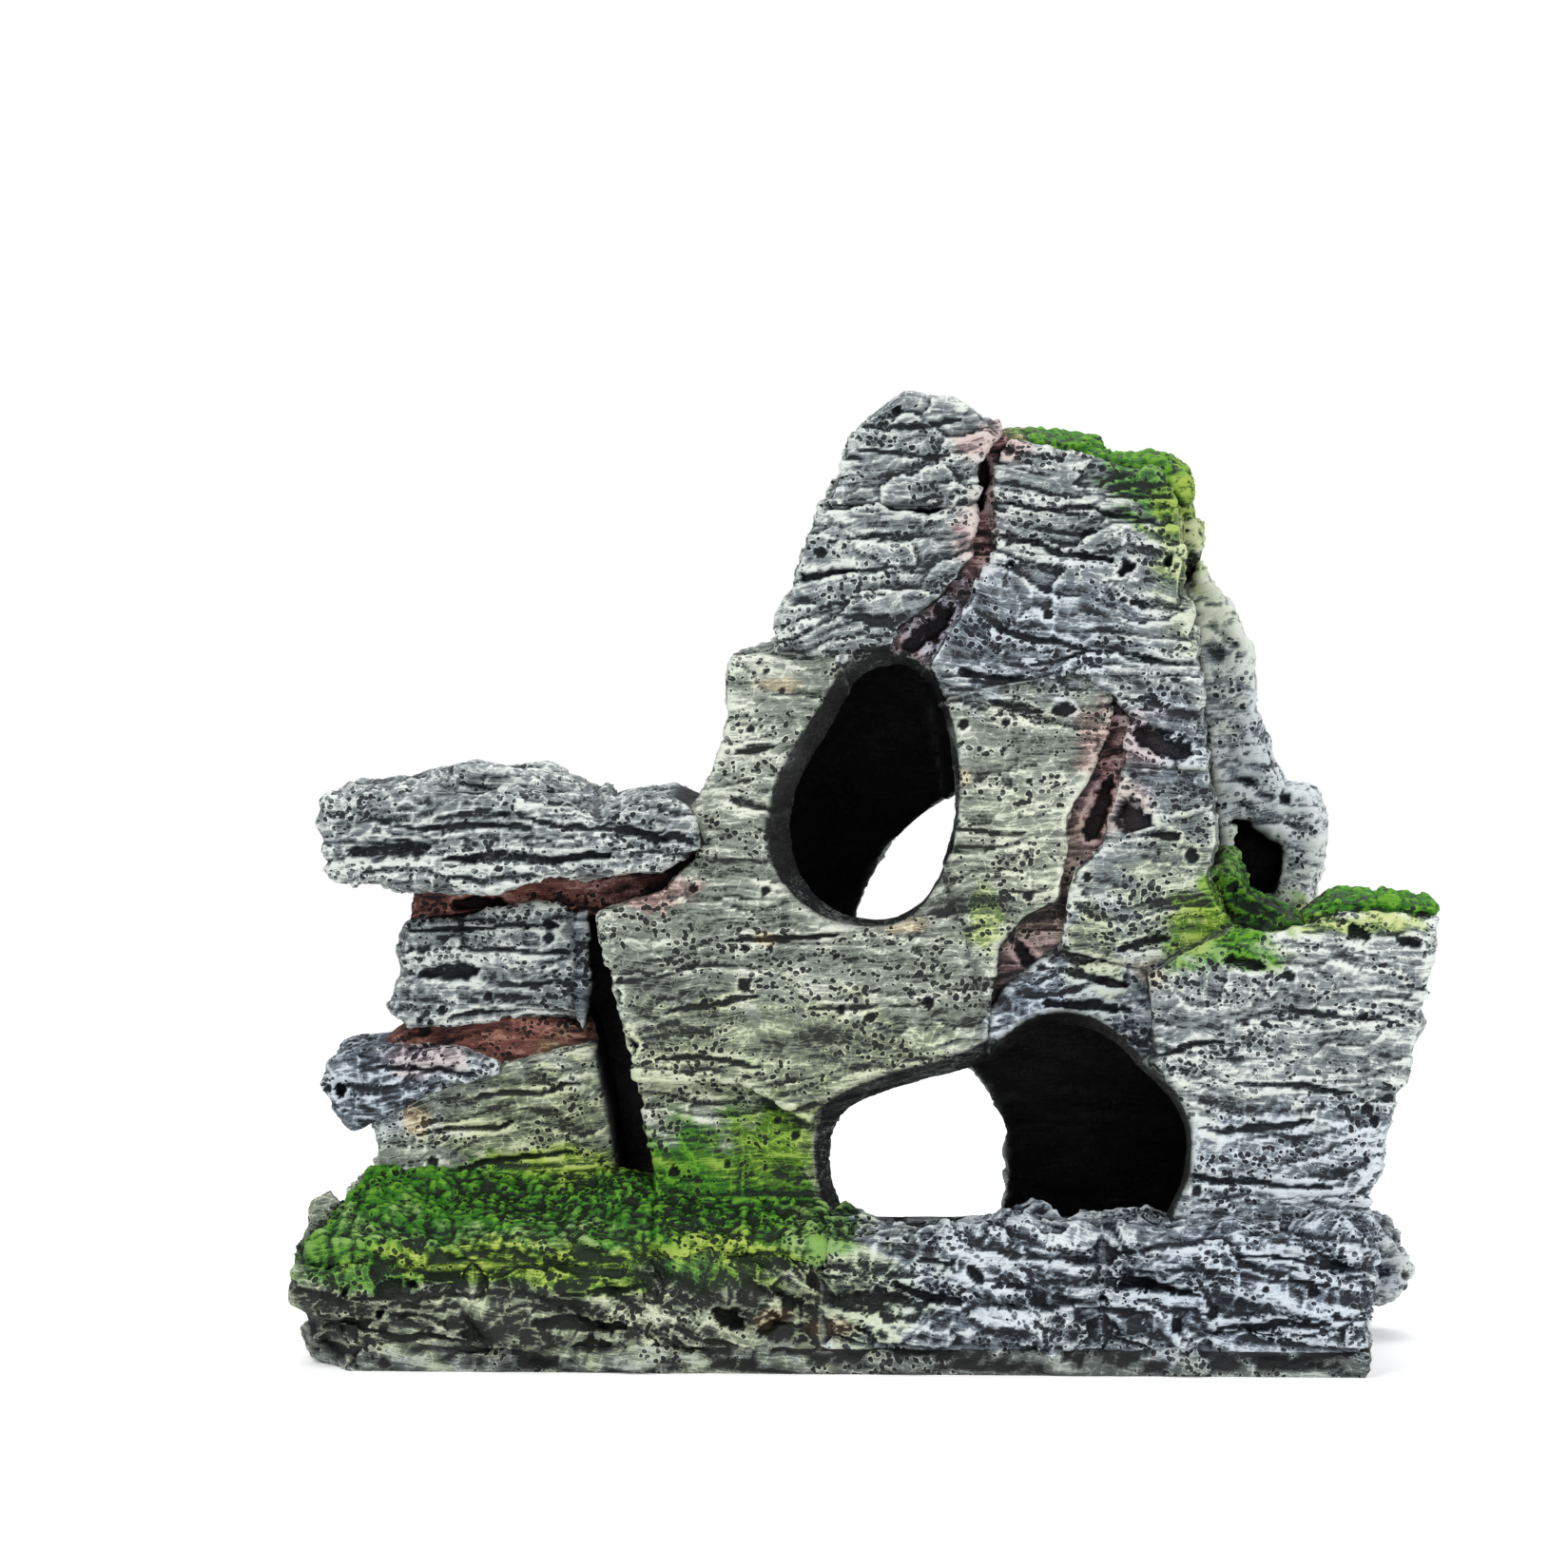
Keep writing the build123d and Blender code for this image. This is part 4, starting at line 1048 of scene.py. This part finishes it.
core = sum_up(grain, (gathered, 1.0), (bubble, -1.0))
pits = between(grain, core, -0.03, 0.05)
rim = sum_up(grain, (between(grain, core, -0.16, -0.04), 1.0), (pits, -1.0))
pale_net = sum_up(grain, (net, 0.8), (rim, 1.0), (grit, 1.5))
height = sum_up(grain, (hair, 0.9), (band, 0.5), (net, 0.10), (pits, -0.55), (rim, 0.12), (grit, 0.25))
for label, source in (("Streak", hair), ("Patch", band), ("Net", pale_net), ("Pits", pits),
                      ("Height", height)):
    grain.links.new(source, grain_out.inputs[label])
print("group", grain.name)

# %% Undercoat, stone colour and dry brush
PROUD_SHIFT = -3.20               # brings the middle of the sum to about zero
STONE_RAMP = (-0.85, 0.15)        # from undercoat alone to stone colour alone
HIGHLIGHT_RAMP = (0.10, 1.45)     # from stone colour alone to dry brush alone

brush, brush_in, brush_out = new_group(
    "dry_brush", [("Undercoat", "colour"), ("Stone", "colour"), ("Highlight", "colour"),
                  ("Coverage", "number"), ("Streak", "number"), ("Patch", "number"),
                  ("Net", "number"), ("Pits", "number")],
    [("Color", "colour"), ("Tone", "number")])
given = brush_in.outputs
proud = sum_up(brush, (vertex_number(brush, "relief"), 0.85), (given["Streak"], 3.2),
               (given["Patch"], 2.2), (given["Coverage"], 1.0), (given["Net"], 0.55),
               (given["Pits"], -1.3), (vertex_number(brush, "wash"), -1.15),
               (vertex_number(brush, "thin"), -1.0), (1.0, PROUD_SHIFT))
stone = blend_colours(brush, between(brush, proud, *STONE_RAMP), given["Undercoat"], given["Stone"])
pale = blend_colours(brush, between(brush, proud, *HIGHLIGHT_RAMP), stone, given["Highlight"])
brush.links.new(pale, brush_out.inputs["Color"])
brush.links.new(proud, brush_out.inputs["Tone"])
print("group", brush.name)

# %% Sprayed colours
PIGMENTS = {
    # colour: recesses, middle, ridges
    "lichen": (tone(20, 25, 13), tone(100, 111, 76), tone(184, 192, 148)),
    "blue": (tone(14, 18, 27), tone(80, 91, 106), tone(184, 194, 206)),
    "rust": (tone(30, 14, 14), tone(112, 72, 70), tone(186, 150, 146)),
    "tan": (tone(66, 52, 34), tone(160, 140, 104), tone(214, 200, 164)),
    "moss": (tone(4, 20, 3), tone(35, 92, 9), tone(88, 138, 34)),
    "lime": (tone(16, 34, 6), tone(92, 120, 24), tone(172, 184, 88)),
}
spray, spray_in, spray_out = new_group(
    "sprayed_colours", [("Color", "colour"), ("Tone", "number")], [("Color", "colour")])
covered, heights = spray_in.outputs["Color"], spray_in.outputs["Tone"]
for pigment, (deep, middle, ridge) in PIGMENTS.items():
    coat = blend_colours(spray, between(spray, heights, -0.45, 0.1), deep, middle)
    coat = blend_colours(spray, between(spray, heights, 0.15, 0.85), coat, ridge)
    covered = blend_colours(spray, vertex_number(spray, pigment), covered, coat)
spray.links.new(covered, spray_out.inputs["Color"])
print("group", spray.name)

# %% The black inside, painted shade and the smooth reveals
BLACK = tone(9, 9, 9)
REVEAL_DARK, REVEAL_SCUFFED = tone(20, 22, 23), tone(104, 110, 106)
SMOOTHEST, ROUGHEST = 0.42, 0.78      # undercoat has a slight sheen, and dry brush has none

inside_and_shade, inside_in, inside_out = new_group(
    "black_inside_and_shade", [("Color", "colour"), ("Tone", "number")],
    [("Color", "colour"), ("Roughness", "number")])
heights = inside_in.outputs["Tone"]
scuffed = blend_colours(inside_and_shade, between(inside_and_shade, heights, 0.1, 1.0), REVEAL_DARK, REVEAL_SCUFFED)
coated = blend_colours(inside_and_shade, vertex_number(inside_and_shade, "reveal"), inside_in.outputs["Color"], scuffed)
# Painted shade: black goes on the cave's inside and also on spots that little light reaches.
coated = blend_colours(inside_and_shade, vertex_number(inside_and_shade, "cave_and_shade"), coated, BLACK)
inside_and_shade.links.new(coated, inside_out.inputs["Color"])
inside_and_shade.links.new(between(inside_and_shade, heights, -0.4, 0.5, SMOOTHEST, ROUGHEST),
                 inside_out.inputs["Roughness"])
print("group", inside_and_shade.name)

# %% Painted resin
SPECULAR = 0.25
BUMP_STRENGTH = 0.7
BUMP_DEPTH = 0.35       # mm


def use_group(tree, group, **inputs):
    """Place a node group in a material, and give its inputs sockets or plain values."""
    made = tree.nodes.new("ShaderNodeGroup")
    made.node_tree = group
    for name, value in inputs.items():
        feed(tree, made.inputs[name], value)
    return made.outputs


def painted_resin(name, undercoat, stone_colour, highlight, coverage):
    """Resin in the colours of one kind of rock."""
    material = bpy.data.materials.new(name)
    material.use_nodes = True
    tree = material.node_tree
    shader = tree.nodes["Principled BSDF"]
    fine = use_group(tree, grain)
    layers = use_group(tree, brush, Undercoat=undercoat, Stone=stone_colour,
                       Highlight=highlight, Coverage=coverage, Streak=fine["Streak"],
                       Patch=fine["Patch"], Net=fine["Net"], Pits=fine["Pits"])
    colours = use_group(tree, spray, Color=layers["Color"], Tone=layers["Tone"])
    finished = use_group(tree, inside_and_shade, Color=colours["Color"], Tone=layers["Tone"])
    feed(tree, shader.inputs["Base Color"], finished["Color"])
    feed(tree, shader.inputs["Roughness"], finished["Roughness"])
    shader.inputs["Specular IOR Level"].default_value = SPECULAR
    raised = tree.nodes.new("ShaderNodeBump")
    raised.inputs["Strength"].default_value = BUMP_STRENGTH
    raised.inputs["Distance"].default_value = BUMP_DEPTH * MM
    feed(tree, raised.inputs["Height"], fine["Height"])
    feed(tree, shader.inputs["Normal"], raised.outputs["Normal"])
    return material


COLOURS = {
    # finish: undercoat, stone colour, highlight, how well the stone colour covers
    "grey_rock": (tone(20, 23, 27), tone(110, 118, 120), tone(204, 208, 202), 0.05),
    "green_grey_rock": (tone(20, 24, 22), tone(114, 121, 112), tone(204, 208, 193), 0.07),
    "blue_grey_rock": (tone(16, 20, 26), tone(98, 107, 114), tone(202, 208, 208), 0.0),
    "red_rock": (tone(26, 12, 11), tone(104, 62, 54), tone(168, 124, 110), -0.05),
    "brown_vein": (tone(17, 12, 14), tone(78, 60, 62), tone(164, 142, 142), -0.15),
    "dark_rock": (tone(14, 16, 16), tone(90, 97, 94), tone(182, 187, 178), 0.0),
    "moss": (tone(4, 20, 3), tone(36, 98, 10), tone(94, 146, 38), 0.0),
    "base_resin": (tone(18, 20, 20), tone(76, 82, 80), tone(172, 178, 170), -0.05),
}
FINISHES = {name: painted_resin(name, *colours) for name, colours in COLOURS.items()}
print("finishes:", ", ".join(FINISHES))

# %% [markdown]
# ## Every rock
#
# Each rock gets its style, the slope of its beds and its paint. The slope follows how the
# rock is laid: the spire's left side rises to the right, its face falls to the right, and
# the kerb's beds run down to the right as though the whole ledge had slumped. Moss is
# rolled from coarse foam crumbs, which are rounder and bigger than any grain of the rock,
# so it gets crumbs of its own on top of its style.

# %% Moss crumbs
CRUMBS = (
    # size in mm along each axis, height in mm, seed
    ((2.6, 2.6, 2.3), 0.55, 81),
    ((1.25, 1.25, 1.2), 0.55, 85),
)
CRUMB_BED = 0.35        # mm that the crumbs sink in


def granules(surface):
    """Round lumps of two sizes, in mm."""
    rise = np.zeros(len(surface.points))
    shove = np.column_stack([drift(surface.points, 3.1, 91 + axis) for axis in range(3)])
    for size, tall, seed in CRUMBS:
        near, _, _, owner = cells(surface.points + shove, size, seed)
        rise += tall * (0.5 + 0.7 * roll(owner, seed + 3)) * (1 - 1.6 * near ** 2)
    return rise - CRUMB_BED


print(len(CRUMBS), "sizes of crumb")

# %% Styles, slopes and seeds
SLOTS = {part["node"]: part["material_slot"] for part in frame["record"]["subparts"]}
ROCKS = {
    # rock: style, slope of the beds, seed
    "base_plate": ("kerb", -0.12, 31),
    "cave_floor": ("inner", 0.0, 91),
    "kerb_left": ("kerb", -0.15, 31),
    "kerb_middle": ("kerb", -0.15, 31),
    "kerb_step": ("kerb", -0.32, 31),
    "kerb_boulders": ("kerb", -0.12, 31),
    "kerb_right": ("kerb", -0.12, 31),
    "shelf_rock": ("kerb", -0.1, 31),
    "heel_stone": ("kerb", 0.0, 33),
    "rear_kerb_left": ("kerb", 0.1, 34),
    "rear_kerb_right": ("kerb", 0.1, 34),
    "column_foot": ("slab", 0.18, 41),
    "nose_rock": ("ledge", 0.1, 42),
    "red_seam_lower": ("seam", 0.1, 43),
    "column_block": ("ledge", 0.05, 44),
    "red_seam_upper": ("seam", 0.05, 45),
    "ledge_slab": ("ledge", 0.02, 46),
    "ledge_crown": ("ledge", -0.08, 46),
    "crevice_splinter": ("seam", 0.0, 47),
    "crevice_web": ("inner", 0.0, 48),
    "mossy_block_left": ("slab", 0.05, 11),
    "mossy_block_right": ("slab", 0.05, 11),
    "waist_slab": ("slab", 0.05, 11),
    "cheek_slab": ("slab", 0.05, 11),
    "spire_block": ("crag", 0.24, 12),
    "spire_cap": ("crag", 0.10, 13),
    "vein_upper": ("seam", 0.1, 14),
    "face_slab": ("crag", -0.16, 15),
    "centre_slab": ("slab", 0.05, 16),
    "vein_lower": ("seam", 0.1, 17),
    "side_step_top": ("slab", 0.0, 18),
    "side_step_mid": ("slab", 0.0, 19),
    "side_slab": ("slab", 0.08, 20),
    "arch_stones": ("ledge", 0.2, 21),
    "right_buttress": ("buttress", -0.06, 22),
    "left_flank": ("slab", 0.05, 51),
    "left_shoulder": ("slab", 0.05, 51),
    "right_flank_upper": ("slab", 0.05, 52),
    "right_flank_lower": ("slab", 0.05, 52),
    "spire_core": ("crag", 0.05, 53),
    "rear_foot_left": ("slab", -0.05, 61),
    "rear_foot_right": ("buttress", -0.05, 61),
    "rear_lintel": ("slab", -0.05, 61),
    "rear_waist": ("slab", -0.05, 61),
    "rear_upper": ("crag", -0.05, 61),
    "rear_saddle": ("buttress", -0.05, 61),
    "rear_spire": ("crag", -0.05, 61),
    "crest_rock": ("crag", -0.05, 61),
    "rear_shoulder": ("ledge", 0.1, 62),
    "moss_carpet": ("moss", 0.0, 71),
    "moss_bank": ("moss", 0.0, 71),
    "moss_crest": ("moss", 0.0, 72),
    "moss_saddle": ("moss", 0.0, 73),
    "moss_ridge": ("moss", 0.0, 74),
}
# Rocks that a wall of the window or the tunnel belongs to, and rocks that hardly show.
WALLED = ("waist_slab", "cheek_slab", "spire_block", "vein_upper", "face_slab", "centre_slab",
          "vein_lower", "arch_stones", "right_buttress", "mossy_block_right")
INNER = ("cave_floor", "crevice_web", "base_plate")
REAR_SEEDS = (34, 61, 62)       # the rocks with these seeds are seen from behind
print(len(SLOTS), "rocks have", len(set(SLOTS.values())), "finishes")

# %% Build the rocks
faces = 0
for node, (style, slope, seed) in ROCKS.items():
    slot = SLOTS[node]
    grid = GRID_INNER if node in INNER else GRID_REAR if seed in REAR_SEEDS else GRID_FRONT
    rock = weathered(node, style, slope, seed, grid, node in WALLED,
                     granules if slot == "moss" else None)
    rock.data.materials.clear()
    rock.data.materials.append(FINISHES[slot])
    faces += len(rock.data.polygons)
print("rocks:", len(ROCKS), "faces:", faces)
